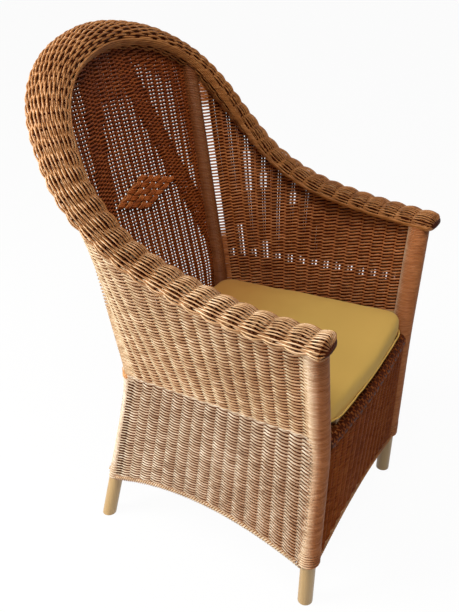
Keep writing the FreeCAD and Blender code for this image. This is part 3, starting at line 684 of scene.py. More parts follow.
def back_stake_tracks(z, halves):
    """Run of each stake of the back over all heights, and where it is there."""
    edge = band_middle(z)
    tracks = []
    for sign in (-1, 1):
        for i in range(INNER_STAKES):
            x = np.full(len(z), i * BACK_STAKE_PITCH)
            tracks.append((sign * x, leaned(sign * x, z) * sign < edge - BAND_HALF))
        for i in range(1, OUTER_STAKES + 1):
            x = halves - i * BACK_STAKE_PITCH
            tracks.append((sign * x, leaned(sign * x, z) * sign > edge + BAND_HALF))
        for share in BAND_STAKES:
            x = edge + share * BAND_HALF - leaned(0, z) * sign
            tracks.append((sign * x, (x < halves - BAND_STAKE_INSET) & (x > 0)))
    return tracks


def back_filler_tracks(z, halves):
    """Run of each filler of the back over all heights, where it is there, and its thickness share."""
    edge = band_middle(z)
    tracks = []
    for at in np.arange(-CLOSE_FILLER_HALF, CLOSE_FILLER_HALF + 0.001, BACK_STAKE_PITCH / 4):
        x = np.full(len(z), at)
        tracks.append((x, back_closeness(x, z) > CLOSE_ENOUGH, 1))
    for sign in (-1, 1):
        for i in range(INNER_STAKES):
            for part in BACK_FILLERS:
                inner = sign * np.full(len(z), (i + part) * BACK_STAKE_PITCH)
                outer = sign * (halves - (i + part) * BACK_STAKE_PITCH)
                tracks.append((inner, leaned(inner, z) * sign < edge, 1))
                tracks.append((outer, leaned(outer, z) * sign > edge, 1))
        for beside in BAND_EDGE_FILLERS:
            x = (edge + beside + math.copysign(BAND_HALF, beside) - leaned(0, z) * sign) * sign
            tracks.append((x, x * sign > BAND_EDGE_CLEAR, BAND_EDGE_THICK))
    return tracks


def back_stakes():
    z = np.linspace(BACK_LOW, BACK_TOP, BACK_STAKE_POINTS)
    halves = np.array([back_half(height) for height in z])
    lines = []
    for x, shown in back_stake_tracks(z, halves):
        kept = shown & (np.abs(x) < halves - BACK_STAKE_INSET)
        if kept.sum() >= 3:
            lines.append((back_line(x[kept], z[kept]), 1))
    finish_piece(reeds("back_stakes_round", lines, BACK_STAKE), REED_PAINTED_SHADE, ["back_stakes"])
    fillers = []
    for x, shown, thick in back_filler_tracks(z, halves):
        kept = shown & (np.abs(x) < halves - BACK_FILLER_INSET)
        fillers += kept_runs(back_line(x, z), kept, thick)
    finish_piece(reeds("back_fillers", fillers, BACK_FILLER), REED_PAINTED_SHADE)


def back_diamond():
    """Plaited diamond: threes of reeds that cross on the slant, over one and under one."""
    lines = []
    along = np.linspace(-1, 1, DIAMOND_POINTS)
    for way in (-1, 1):
        for i in range(DIAMOND_STRANDS):
            lift = np.cos(math.pi * ((along + 1) / 2 * DIAMOND_STRANDS - 0.5) + math.pi * (i + (way > 0)))
            for part in (-1, 0, 1):
                offset = ((i + 0.5) / DIAMOND_STRANDS * 2 - 1) + part * DIAMOND_REED_GAP
                level = np.full(DIAMOND_POINTS, offset)
                u, v = (along, level) if way < 0 else (level, along)
                x = (u + v) / 2 * DIAMOND_HALF_WIDTH
                z = DIAMOND_MIDDLE + (v - u) / 2 * DIAMOND_HALF_HEIGHT
                points = back_line(x, z)
                points[:, 1] -= DIAMOND_FORWARD + DIAMOND_WAVE * lift
                lines.append((points, 1))
    finish_piece(reeds("back_diamond_plait", lines, DIAMOND_REED), REED_PLAIT)


# Rolled rim: reeds over and under its ribs, fillers under them, and a border along its inner edge; the ribs
# and fillers are dark, painted shade between the reeds

RIM_REEDS = 48
RIM_REED = 0.0028
RIM_REED_INSET = 0.0022
RIM_WAVE = 0.0040
RIM_WANDER = 0.036
RIM_ROUND = (0.038, 0.020)
RIM_FILLER = 0.0125
RIM_FILLER_INSET = 0.0105
RIB = 0.0046
RIB_INSET = 0.0038
BORDER_ANGLES = np.radians([188, 195, 202, 209])
BORDER_REED = 0.0031
BORDER_PROUD = 0.0010

# Its rounded front ends

NOSE = 0.009
NOSE_DROP = 0.004
NOSE_CLOSED = 0.985
NOSE_REED = 0.55


def rim_angles():
    """Angles round the rim's section that space the reeds evenly."""
    fine = np.linspace(0, 2 * math.pi, 721)
    ring = np.stack([RIM_ROUND[0] * np.cos(fine), RIM_ROUND[1] * np.sin(fine)], axis=1)
    length = np.concatenate([[0], np.cumsum(np.linalg.norm(np.diff(ring, axis=0), axis=1))])
    return np.interp(np.arange(RIM_REEDS) / RIM_REEDS * length[-1], length, fine)


def rim_reed_lines(inset, per_rib, wave, angles, wander=0.0):
    """Reeds along the rim at angles round its section, closed in round both front ends."""
    at, ribs = rim_places(per_rib)
    middle, run, wide, thin, half_width, half_thick = rim_frame(at)
    swing = wave * rib_pitch(at) / ARM_RIB_PITCH
    nose = np.linspace(0, 1, 9)[1:]
    shrink = np.sqrt(1 - (nose * NOSE_CLOSED) ** 2)[:, None]
    drop = np.outer(nose ** 2, (0, 0, -NOSE_DROP))
    nose_share = NOSE_REED + (1 - NOSE_REED) * (1 - nose) ** 0.5
    girth = (half_width + half_thick)[:, 0]
    share = np.concatenate([nose_share[::-1], girth / girth[0], nose_share])
    lines = []
    for i, angle in enumerate(angles):
        drift = wander * np.sin(ribs * 0.95 + i * 2.4) * np.sin(ribs * 0.4 + i * 1.1)
        across = np.cos(angle + drift)[:, None]
        upward = np.sin(angle + drift)[:, None]
        normal = unit(wide * (across / half_width) + thin * (upward / half_thick))
        spot = wide * (across * half_width) + thin * (upward * half_thick)
        lift = (swing * np.cos(math.pi * ribs + math.pi * i))[:, None] - inset
        line = middle + spot + normal * lift
        ends = []
        for e, way in ((0, -1), (-1, 1)):
            ahead = run[e] * way * NOSE * nose[:, None]
            ends.append(middle[e] + drop + ahead + (line[e] - middle[e]) * shrink)
        lines.append((np.vstack([ends[0][::-1], line, ends[1]]), share))
    return lines


def rim_rib_rings():
    at, _ = rim_places(1)
    middle, _, wide, thin, half_width, half_thick = rim_frame(at)
    turn = np.linspace(0, 2 * math.pi, 25)[:, None]
    rings = []
    for i in range(len(at)):
        across = wide[i] * np.cos(turn) * (half_width[i] - RIB_INSET)
        upward = thin[i] * np.sin(turn) * (half_thick[i] - RIB_INSET)
        rings.append((middle[i] + across + upward, 1))
    return rings


def rolled_rim():
    angles = rim_angles()
    lines = rim_reed_lines(RIM_REED_INSET, 6, RIM_WAVE, angles, RIM_WANDER)
    half = RIM_REEDS // 2
    finish_piece(reeds("rim_reeds_upper", lines[:half], RIM_REED), REED_RIM, ["rim_roll"])
    finish_piece(reeds("rim_reeds_lower", lines[half:], RIM_REED), REED_RIM)
    rods = rim_reed_lines(RIM_FILLER_INSET, 1, 0.0, angles[::3])
    finish_piece(reeds("rim_filler_rods", rods, RIM_FILLER), REED_PAINTED_SHADE)
    finish_piece(reeds("rim_ribs", rim_rib_rings(), RIB), REED_PAINTED_SHADE)
    border = rim_reed_lines(-BORDER_PROUD, 2, 0.0, BORDER_ANGLES)
    finish_piece(reeds("rim_border", border, BORDER_REED), REED_RIM)


# Windings on the posts, a few coarse turns at the foot and fine ones above; lashing on the rear posts

WRAP_RADIUS = {"front": 0.022, "rear": 0.0165}
WRAP_TOP = {"front": 0.634, "rear": 0.929}
WRAP_BELOW_HEM = {"front": 0.003, "rear": 0.012}
COIL_REED = 0.0037
COIL_INSET = 0.0018
COIL_PITCH = 0.0034
COARSE_PITCH = 0.0062
COARSE_TURNS = 6
COARSE_THICKER = 0.22
COARSE_PROUD = 0.0004
CLOSING_TURNS = 3
CORE_INSET = 0.0026
CORE_ABOVE_FOOT = 0.002
CORE_BELOW_TOP = 0.004
CORE_POINTS = 40
TURN_POINTS = 18
LASHING_TURNS = 5
LASHING_PITCH = 0.0040
LASHING_REED = 0.0034


def around(turn):
    """Level ring of radius 1 at places counted in turns."""
    angle = turn * 2 * math.pi
    return np.stack([np.cos(angle), np.sin(angle), np.zeros(len(turn))], axis=1)


def winding(end, side, sign):
    name = "%s_%s_winding" % (end, side)
    low = HEM_HEIGHT[end] - WRAP_BELOW_HEM[end]
    high = WRAP_TOP[end]
    turns = COARSE_TURNS + (high - low - COARSE_TURNS * COARSE_PITCH) / COIL_PITCH
    turn = np.linspace(0, turns, int(turns * TURN_POINTS))
    fine_turn = np.maximum(turn - COARSE_TURNS, 0)
    z = low + np.minimum(turn, COARSE_TURNS) * COARSE_PITCH + fine_turn * COIL_PITCH
    coarse = smooth(COARSE_TURNS + 1, COARSE_TURNS - 1, turn)
    radius = WRAP_RADIUS[end] - COIL_INSET + COARSE_PROUD * coarse
    if end == "rear":
        radius = radius * np.sqrt(np.clip((turns - turn) / CLOSING_TURNS, 0.02, 1))
    points = post_centre(end, sign, z) + around(turn) * radius[:, None]
    coil = reeds(name + "_coil", [(points, 1 + COARSE_THICKER * coarse)], COIL_REED)
    finish_piece(coil, REED_WINDING if end == "front" else REED_REAR_WINDING, [name])
    # The core under the coils is dark: painted shade between the turns.
    heights = np.linspace(low + CORE_ABOVE_FOOT, high - CORE_BELOW_TOP, CORE_POINTS)
    core_line = [(post_centre(end, sign, heights), 1)]
    core = reeds(name + "_core", core_line, 2 * (WRAP_RADIUS[end] - CORE_INSET), sides=12)
    finish_piece(core, REED_PAINTED_SHADE)


def lashing(side, sign):
    """A few turns that lash the seat rail to a rear post."""
    turn = np.linspace(0, LASHING_TURNS, LASHING_TURNS * TURN_POINTS + 1)
    z = SKIRT_SLIT_TOP + turn * LASHING_PITCH
    points = post_centre("rear", sign, z) + around(turn) * WRAP_RADIUS["rear"]
    finish_piece(reeds("rear_%s_lashing" % side, [(points, 1)], LASHING_REED), REED_PLAIT)


# Twisted borders at the seat and hems, and the plaited binding of the front rail

BORDER_RUN = (-0.03, 1.01)
BORDER_POINTS = 170
SEAT_ROW = {"centre": 0.0030, "radius": 0.0013, "pitch": 0.044, "strands": 2}
SEAT_ROW_REED = 0.0031
HEM_TWIST = {"centre": 0.0, "radius": HEM_ROD / 2 + 0.0006, "pitch": 0.024, "strands": 4}
HEM_TWIST_REED = 0.0032
BINDING_STRANDS = 7
BINDING_REED = 0.0030
BINDING_RADIUS = 0.0148
BINDING_WAVE = 0.0012
BINDING_TURN = 0.0105
BINDING_STOP = 0.0225
BINDING_POINTS = 260


def twisted(line, out, centre, radius, pitch, strands):
    """Strands twisted round each other along a line, set off from it towards out."""
    step = np.concatenate([[0], np.cumsum(np.linalg.norm(np.diff(line, axis=0), axis=1))])
    run = unit(np.gradient(line, axis=0))
    up = unit(np.cross(out, run))
    lines = []
    for i in range(strands):
        turn = (2 * math.pi * step / pitch + 2 * math.pi * i / strands)[:, None]
        lines.append((line + out * (centre + radius * np.cos(turn)) + up * radius * np.sin(turn), 1))
    return lines


def borders():
    """Twisted row along each side at the seat, and reed twisted round each hem rod."""
    share = np.linspace(*BORDER_RUN, BORDER_POINTS)
    for side, sign in SIDES:
        out = np.array([sign, 0.0, 0.0])
        row = twisted(between(side_ends(sign, SIDE_RAIL_HEIGHT), share), out, **SEAT_ROW)
        finish_piece(reeds(side + "_seat_row", row, SEAT_ROW_REED), REED_SKIRT)
        wrap = twisted(hem_line(side_ends(sign, HEM_HEIGHT), SIDE_HEM_RISE, share), out, **HEM_TWIST)
        finish_piece(reeds(side + "_hem_twist", wrap, HEM_TWIST_REED), REED_SKIRT)
    for end, outward in OUTWARD.items():
        hem = hem_line(cross_ends(end, HEM_HEIGHT[end]), CROSS_HEM_RISE, share)
        wrap = twisted(hem, np.array([0.0, outward, 0.0]), **HEM_TWIST)
        finish_piece(reeds(end + "_hem_twist", wrap, HEM_TWIST_REED), REED_RIM)


def front_binding():
    """Plaited binding: reeds wound both ways round the front rail."""
    post = post_at("front", FRONT_RAIL_HEIGHT)
    half = post[0] - BINDING_STOP
    x = np.linspace(-half, half, BINDING_POINTS)
    middle = post[1] - FRONT_RAIL_BOW * (1 - (x / post[0]) ** 2)
    lines = []
    for way in (-1, 1):
        for i in range(BINDING_STRANDS):
            turn = way * x / BINDING_TURN + 2 * math.pi * i / BINDING_STRANDS
            crossing = x / BINDING_TURN * BINDING_STRANDS + math.pi * (i % 2) + math.pi * (way > 0)
            reach = BINDING_RADIUS + BINDING_WAVE * np.cos(crossing)
            y = middle + reach * np.cos(turn)
            z = FRONT_RAIL_HEIGHT + reach * np.sin(turn)
            lines.append((np.stack([x, y, z], axis=1), 1))
    finish_piece(reeds("front_rail_plait", lines, BINDING_REED), REED_BINDING)


# Cushion: an outline smaller than the finished cushion by its shrink, which the filling swells

CUSHION_FRONT_HALF = 0.197
CUSHION_REAR_HALF = 0.172
CUSHION_FRONT = -0.297
CUSHION_REAR = 0.128
CUSHION_BOW = 0.015
CUSHION_CORNER = 0.028
CUSHION_EDGE = 0.009
CUSHION_SHRINK = 0.004
CUSHION_LIFT = 0.001
CUSHION_HEADROOM = 0.006
FRONT_EDGE_PARTS = 12
SHARP_TURN = 0.6
UPRIGHT_RISE = 0.01
LEVEL_RISE = 1e-5
CLOTH_MESH = 0.006
FILL_PRESSURE = 4
FILL_FRAMES = 20
FILL_QUALITY = 5
SWELL_CAP = 0.007
SWELL_ABOVE_SEAT = 0.0004
EVENING_ROUNDS = 16
PIPING = 0.0034
PIPING_UP = 0.011
PIPING_REACH = 0.004
PIPING_POINTS = 144
PIPING_SPAN = 0.035


def apply_modifiers(piece):
    """Makes the shape that the modifiers give the piece's own mesh."""
    seen = piece.evaluated_get(bpy.context.evaluated_depsgraph_get())
    shaped = bpy.data.meshes.new_from_object(seen)
    piece.modifiers.clear()
    piece.data = shaped


def round_edges(shape, edges, offset, segments):
    bmesh.ops.bevel(shape, geom=edges, offset=offset, offset_type="OFFSET", affect="EDGES",
                    segments=segments, profile=0.5, material=-1)


def cushion_outline():
    """Plan of the cushion: bowed front edge, straight sides and rear edge."""
    outline = []
    for i in range(FRONT_EDGE_PARTS + 1):
        share = i / FRONT_EDGE_PARTS
        x = (2 * share - 1) * (CUSHION_FRONT_HALF - CUSHION_SHRINK)
        outline.append((x, CUSHION_FRONT + CUSHION_SHRINK - CUSHION_BOW * arch(share)))
    rear_x = CUSHION_REAR_HALF - CUSHION_SHRINK
    rear_y = CUSHION_REAR - CUSHION_SHRINK
    return outline + [(rear_x, rear_y), (-rear_x, rear_y)]


def edge_rise(edge):
    return abs(edge.verts[0].co.z - edge.verts[1].co.z)


def cushion_blank(low, high):
    """Cushion before it is filled: its outline raised, corners and edges rounded, with an even mesh."""
    shape = bmesh.new()
    base = [shape.verts.new((x, y, low.z + CUSHION_LIFT)) for x, y in cushion_outline()]
    raised = bmesh.ops.extrude_face_region(shape, geom=[shape.faces.new(base)])
    top = [v for v in raised["geom"] if isinstance(v, bmesh.types.BMVert)]
    bmesh.ops.translate(shape, verts=top, vec=(0, 0, high.z - low.z - CUSHION_HEADROOM))
    bmesh.ops.recalc_face_normals(shape, faces=shape.faces)
    sharp = [e for e in shape.edges if e.calc_face_angle() > SHARP_TURN]
    round_edges(shape, [e for e in sharp if edge_rise(e) > UPRIGHT_RISE], CUSHION_CORNER, 5)
    sharp = [e for e in shape.edges if e.calc_face_angle() > SHARP_TURN]
    round_edges(shape, [e for e in sharp if edge_rise(e) < LEVEL_RISE], CUSHION_EDGE, 3)
    mesh = bpy.data.meshes.new("seat_cushion")
    shape.to_mesh(mesh)
    shape.free()
    piece = bpy.data.objects.new("seat_cushion", mesh)
    bpy.context.scene.collection.objects.link(piece)
    remesh = piece.modifiers.new("even mesh", "REMESH")
    remesh.mode = "VOXEL"
    remesh.voxel_size = CLOTH_MESH
    apply_modifiers(piece)
    return piece


def evened(moves, edges):
    """Each point's movement averaged with those of the points next to it."""
    total = moves.copy()
    count = np.ones((len(moves), 1))
    for a, b in ((0, 1), (1, 0)):
        np.add.at(total, edges[:, a], moves[edges[:, b]])
        np.add.at(count, edges[:, a], 1)
    return total / count


def swell(piece, floor):
    """Fills the cover by cloth simulation; movements are capped, never inward, and evened out."""
    rest = np.array([v.co for v in piece.data.vertices])
    cloth = piece.modifiers.new("filling", "CLOTH")
    cloth.settings.use_pressure = True
    cloth.settings.uniform_pressure_force = FILL_PRESSURE
    cloth.settings.effector_weights.gravity = 0
    cloth.settings.quality = FILL_QUALITY
    cloth.point_cache.frame_end = FILL_FRAMES
    scene = bpy.context.scene
    for number in range(1, FILL_FRAMES + 1):
        scene.frame_set(number)
    apply_modifiers(piece)
    scene.frame_set(1)
    moves = np.array([v.co for v in piece.data.vertices]) - rest
    away = (rest - rest.mean(axis=0)) * (1, 1, 0)
    away /= np.maximum(np.linalg.norm(away, axis=1, keepdims=True), 1e-6)
    inward = np.minimum(np.sum(moves * away, axis=1, keepdims=True), 0)
    moves -= away * inward
    length = np.linalg.norm(moves, axis=1, keepdims=True)
    moves *= np.minimum(1, SWELL_CAP / np.maximum(length, 1e-6))
    edges = np.array([edge.vertices[:] for edge in piece.data.edges])
    for _ in range(EVENING_ROUNDS):
        moves = evened(moves, edges)
    for vertex, place in zip(piece.data.vertices, rest + moves):
        vertex.co = (place[0], place[1], max(place[2], floor))


def cushion_piping(piece, height):
    """Piped seam round the cushion near its lower edge."""
    corners = np.array([v.co for v in piece.data.vertices])
    level = corners[np.abs(corners[:, 2] - height) < PIPING_REACH]
    middle = (level.min(axis=0) + level.max(axis=0)) / 2
    level = level - middle
    turn = np.arctan2(level[:, 1], level[:, 0])
    far = np.hypot(level[:, 0], level[:, 1])
    ring = []
    for angle in np.linspace(-math.pi, math.pi, PIPING_POINTS + 1):
        apart = np.abs((turn - angle + math.pi) % (2 * math.pi) - math.pi)
        reach = far[apart < PIPING_SPAN].max()
        ring.append((middle[0] + reach * math.cos(angle), middle[1] + reach * math.sin(angle), height))
    cord = reeds("cushion_piping", [(np.array(ring), 1)], PIPING)
    finish_piece(cord, CUSHION_CLOTH, body="cushion")


def seat_cushion():
    low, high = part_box("cushion_cover")
    piece = cushion_blank(low, high)
    swell(piece, low.z + SWELL_ABOVE_SEAT)
    subdivide = piece.modifiers.new("smooth cloth", "SUBSURF")
    subdivide.levels = 1
    subdivide.render_levels = 1
    apply_modifiers(piece)
    piece.data.shade_smooth()
    finish_piece(piece, CUSHION_CLOTH, ["cushion_cover", "cushion_foam"], "cushion")
    cushion_piping(piece, low.z + PIPING_UP)


# Finishes; the sockets of a colour mix node go by number, because their names repeat

MIX_FIRST = 6
MIX_SECOND = 7
MIX_RESULT = 2


def node(tree, kind, sockets=(), **settings):
    """A shader node with its settings and the values of its input sockets."""
    made = tree.nodes.new(kind)
    for name, value in settings.items():
        setattr(made, name, value)
    for socket, value in dict(sockets).items():
        made.inputs[socket].default_value = value
    return made


def colour(tint):
    return (*tint, 1)


def colour_mix(tree, factor, first, second):
    """Mix of two colour sockets by a factor socket."""
    mix = node(tree, "ShaderNodeMix", data_type="RGBA")
    tree.links.new(factor, mix.inputs["Factor"])
    tree.links.new(first, mix.inputs[MIX_FIRST])
    tree.links.new(second, mix.inputs[MIX_SECOND])
    return mix.outputs[MIX_RESULT]


def noise(tree, vector, scale, detail):
    made = node(tree, "ShaderNodeTexNoise", {"Scale": scale, "Detail": detail})
    tree.links.new(vector, made.inputs["Vector"])
    return made.outputs["Fac"]


def stretched(tree, vector, scale):
    made = node(tree, "ShaderNodeMapping", {"Scale": scale})
    tree.links.new(vector, made.inputs["Vector"])
    return made.outputs["Vector"]


def bump(tree, surface, height, strength, distance):
    made = node(tree, "ShaderNodeBump", {"Strength": strength, "Distance": distance})
    tree.links.new(height, made.inputs["Height"])
    tree.links.new(made.outputs["Normal"], surface.inputs["Normal"])


def new_finish(name):
    """A material, its node tree and its surface."""
    material = bpy.data.materials.new(name)
    material.use_nodes = True
    return material, material.node_tree, material.node_tree.nodes["Principled BSDF"]


def reed_tone(group, place, give):
    """Tone that changes from row to row and in patches: dark, middle, light."""
    link = group.links.new
    rows = noise(group, stretched(group, place, (38, 38, 270)), 1.0, 2.0)
    mixed = node(group, "ShaderNodeMath", {1: 0.45}, operation="MULTIPLY_ADD")
    link(noise(group, place, 9.0, 3.0), mixed.inputs[0])
    link(rows, mixed.inputs[2])
    ramp = node(group, "ShaderNodeMapRange", {"From Min": 0.45, "From Max": 0.98})
    lower = node(group, "ShaderNodeMath", {1: 2.0}, operation="MULTIPLY", use_clamp=True)
    upper = node(group, "ShaderNodeMath", {1: 2.0, 2: -1.0}, operation="MULTIPLY_ADD", use_clamp=True)
    link(mixed.outputs["Value"], ramp.inputs["Value"])
    link(ramp.outputs["Result"], lower.inputs[0])
    link(ramp.outputs["Result"], upper.inputs[0])
    darker = colour_mix(group, lower.outputs["Value"], give.outputs["Dark"], give.outputs["Middle"])
    return colour_mix(group, upper.outputs["Value"], darker, give.outputs["Light"])


def painted_light_by_facing(group, place):
    """Painted light and shade by the way a surface faces: 1 on surfaces that face away from the sitter,
    sideways, rearward or up, which keep their paler tone; lower on surfaces that face the sitter, which take
    the painted shade tint; below 1 high on the back.
    """
    link = group.links.new
    where = node(group, "ShaderNodeSeparateXYZ")
    way = node(group, "ShaderNodeSeparateXYZ")
    side = node(group, "ShaderNodeMath", operation="SIGN")
    sideways = node(group, "ShaderNodeMath", operation="MULTIPLY")
    upward = node(group, "ShaderNodeMath", {1: 0.30}, operation="MULTIPLY")
    rearward = node(group, "ShaderNodeMath", {1: 0.85}, operation="MULTIPLY_ADD")
    facing = node(group, "ShaderNodeMath", {1: 0.55}, operation="MULTIPLY_ADD")
    outside = node(group, "ShaderNodeMapRange", {"From Min": 0.05, "From Max": 0.80})
    # Painted light wanes higher up, from 0.72 m to 0.95 m, so more painted shade shows there.
    heights = {"From Min": 0.72, "From Max": 0.95, "To Min": 1.0, "To Max": 0.45}
    painted_light_height_fade = node(group, "ShaderNodeMapRange", heights, interpolation_type="SMOOTHSTEP")
    paler = node(group, "ShaderNodeMath", operation="MULTIPLY")
    link(place, where.inputs["Vector"])
    link(node(group, "ShaderNodeNewGeometry").outputs["Normal"], way.inputs["Vector"])
    link(where.outputs["X"], side.inputs[0])
    link(side.outputs["Value"], sideways.inputs[0])
    link(way.outputs["X"], sideways.inputs[1])
    link(way.outputs["Z"], upward.inputs[0])
    link(way.outputs["Y"], rearward.inputs[0])
    link(upward.outputs["Value"], rearward.inputs[2])
    link(sideways.outputs["Value"], facing.inputs[0])
    link(rearward.outputs["Value"], facing.inputs[2])
    link(facing.outputs["Value"], outside.inputs["Value"])
    link(where.outputs["Z"], painted_light_height_fade.inputs["Value"])
    link(outside.outputs["Result"], paler.inputs[0])
    link(painted_light_height_fade.outputs["Result"], paler.inputs[1])
    return paler.outputs["Value"]


def reed_grain_and_painted_light():
    """Tone, roughness and fine relief of varnished reed, with painted light and shade: paler where it faces
    away from the sitter, darker and redder where it faces the sitter.
    """
    group = bpy.data.node_groups.new("reed_grain_and_painted_light", "ShaderNodeTree")
    face = group.interface
    for name in ("Dark", "Middle", "Light", "Painted Shade Tint"):
        face.new_socket(name=name, in_out="INPUT", socket_type="NodeSocketColor")
    face.new_socket(name="Color", in_out="OUTPUT", socket_type="NodeSocketColor")
    for name in ("Roughness", "Height"):
        face.new_socket(name=name, in_out="OUTPUT", socket_type="NodeSocketFloat")
    give = node(group, "NodeGroupInput")
    take = node(group, "NodeGroupOutput")
    place = node(group, "ShaderNodeTexCoord").outputs["Object"]
    link = group.links.new
    tone = reed_tone(group, place, give)
    # Painted shade: the tone multiplied by a darker, redder tint.
    painted_shade_tone = node(group, "ShaderNodeMix", {"Factor": 1.0}, data_type="RGBA", blend_type="MULTIPLY")
    link(tone, painted_shade_tone.inputs[MIX_FIRST])
    link(give.outputs["Painted Shade Tint"], painted_shade_tone.inputs[MIX_SECOND])
    link(colour_mix(group, painted_light_by_facing(group, place), painted_shade_tone.outputs[MIX_RESULT], tone), take.inputs["Color"])
    fibre = noise(group, place, 900.0, 2.0)
    rough = node(group, "ShaderNodeMapRange", {"To Min": 0.38, "To Max": 0.58})
    link(fibre, rough.inputs["Value"])
    link(rough.outputs["Result"], take.inputs["Roughness"])
    link(fibre, take.inputs["Height"])
    return group


# inside is the painted shade tint for the sides that face the sitter.
def reed_finish(name, dark, middle, light, inside=(0.72, 0.34, 0.16), coat=0.08, shine=0.15):
    """Varnished reed in three tones, with a painted shade tint on the sides that face the sitter."""
    material, tree, surface = new_finish(name)
    tones = {"Dark": colour(dark), "Middle": colour(middle), "Light": colour(light)}
    tones["Painted Shade Tint"] = colour(inside)
    grain = node(tree, "ShaderNodeGroup", tones, node_tree=GRAIN_AND_PAINTED_LIGHT)
    tree.links.new(grain.outputs["Color"], surface.inputs["Base Color"])
    tree.links.new(grain.outputs["Roughness"], surface.inputs["Roughness"])
    bump(tree, surface, grain.outputs["Height"], 0.25, 0.0003)
    surface.inputs["Specular IOR Level"].default_value = shine
    surface.inputs["Coat Weight"].default_value = coat
    surface.inputs["Coat Roughness"].default_value = 0.22
    return material


def pole_finish(name, dark, light):
    """Peeled pole with long grain."""
    material, tree, surface = new_finish(name)
    place = node(tree, "ShaderNodeTexCoord").outputs["Object"]
    grain = noise(tree, stretched(tree, place, (160, 160, 9)), 1.0, 4.0)
    mix = node(tree, "ShaderNodeMix", {MIX_FIRST: colour(dark), MIX_SECOND: colour(light)}, data_type="RGBA")
    tree.links.new(grain, mix.inputs["Factor"])
    tree.links.new(mix.outputs[MIX_RESULT], surface.inputs["Base Color"])
    bump(tree, surface, grain, 0.2, 0.0004)
    surface.inputs["Roughness"].default_value = 0.42
    surface.inputs["Coat Weight"].default_value = 0.2
    surface.inputs["Coat Roughness"].default_value = 0.3
    return material


def cloth_threads(tree, place):
    """Height of fine threads that cross."""
    crossed = node(tree, "ShaderNodeMath", operation="ADD")
    for i, direction in enumerate(("X", "Y")):
        wave = node(tree, "ShaderNodeTexWave", {"Scale": 190.0, "Distortion": 1.5, "Detail Scale": 2.0},
                    wave_type="BANDS", bands_direction=direction)
        tree.links.new(place, wave.inputs["Vector"])
        tree.links.new(wave.outputs["Fac"], crossed.inputs[i])
    return crossed.outputs["Value"]


def cloth_finish(name, dark, light):
    """Plain woven cotton: fine crossed threads, soft blotches, paler towards the front as painted light and
    darker towards the rear as painted shade, a little sheen.
    """
    material, tree, surface = new_finish(name)
    place = node(tree, "ShaderNodeTexCoord").outputs["Object"]
    where = node(tree, "ShaderNodeSeparateXYZ")
    # Painted light and shade: the colour goes from the dark tone at the rear to the light tone at the front.
    depths = {"From Min": 0.16, "From Max": -0.24}
    painted_light_front = node(tree, "ShaderNodeMapRange", depths, interpolation_type="SMOOTHSTEP")
    blotched = node(tree, "ShaderNodeMath", {1: 0.25}, operation="MULTIPLY_ADD")
    mix = node(tree, "ShaderNodeMix", {MIX_FIRST: colour(dark), MIX_SECOND: colour(light)}, data_type="RGBA")
    tree.links.new(place, where.inputs["Vector"])
    tree.links.new(where.outputs["Y"], painted_light_front.inputs["Value"])
    tree.links.new(noise(tree, place, 14.0, 4.0), blotched.inputs[0])
    tree.links.new(painted_light_front.outputs["Result"], blotched.inputs[2])
    tree.links.new(blotched.outputs["Value"], mix.inputs["Factor"])
    tree.links.new(mix.outputs[MIX_RESULT], surface.inputs["Base Color"])
    bump(tree, surface, cloth_threads(tree, place), 0.15, 0.0003)
    surface.inputs["Roughness"].default_value = 0.85
    surface.inputs["Specular IOR Level"].default_value = 0.15
    surface.inputs["Sheen Weight"].default_value = 0.05
    surface.inputs["Sheen Roughness"].default_value = 0.5
    return material


def steel_finish(name):
    material, tree, surface = new_finish(name)
    place = node(tree, "ShaderNodeTexCoord").outputs["Object"]
    rough = node(tree, "ShaderNodeMapRange", {"To Min": 0.3, "To Max": 0.5})
    tree.links.new(noise(tree, place, 400.0, 2.0), rough.inputs["Value"])
    tree.links.new(rough.outputs["Result"], surface.inputs["Roughness"])
    surface.inputs["Base Color"].default_value = (0.5, 0.5, 0.52, 1)
    surface.inputs["Metallic"].default_value = 1.0
    return material


GRAIN_AND_PAINTED_LIGHT = reed_grain_and_painted_light()
REED_WALL = reed_finish("wall_reed", (0.275, 0.162, 0.078), (0.49, 0.355, 0.20), (0.71, 0.60, 0.42),
                        inside=(0.84, 0.37, 0.17))
# Darker, redder copy of the reed for the back: painted shade on the back, which faces the sitter.
REED_BACK_PAINTED_SHADE = reed_finish("back_reed", (0.20, 0.078, 0.026), (0.33, 0.15, 0.052), (0.46, 0.255, 0.105))
REED_SKIRT = reed_finish("skirt_reed", (0.26, 0.172, 0.104), (0.465, 0.37, 0.258), (0.68, 0.61, 0.485))
# Darker copy of the skirt reed without gloss: painted shade on the front skirt.
REED_FRONT_PAINTED_SHADE = reed_finish("front_reed", (0.24, 0.10, 0.035), (0.40, 0.20, 0.08), (0.54, 0.33, 0.16),
                         coat=0.0, shine=0.03)
REED_RIM = reed_finish("rim_reed", (0.31, 0.175, 0.08), (0.60, 0.415, 0.23), (0.88, 0.71, 0.50),
                       inside=(0.60, 0.33, 0.155))
REED_WINDING = reed_finish("winding_reed", (0.46, 0.29, 0.155), (0.64, 0.48, 0.31), (0.80, 0.66, 0.49),
                           inside=(0.62, 0.29, 0.135))
REED_REAR_WINDING = reed_finish("rear_winding_reed", (0.44, 0.32, 0.21), (0.62, 0.50, 0.37),
                                (0.74, 0.64, 0.52), inside=(0.34, 0.13, 0.05))
REED_BINDING = reed_finish("binding_reed", (0.17, 0.075, 0.028), (0.30, 0.145, 0.055), (0.43, 0.25, 0.11),
                           coat=0.0, shine=0.03)
REED_PLAIT = reed_finish("plait_reed", (0.34, 0.15, 0.05), (0.54, 0.28, 0.11), (0.70, 0.42, 0.19))
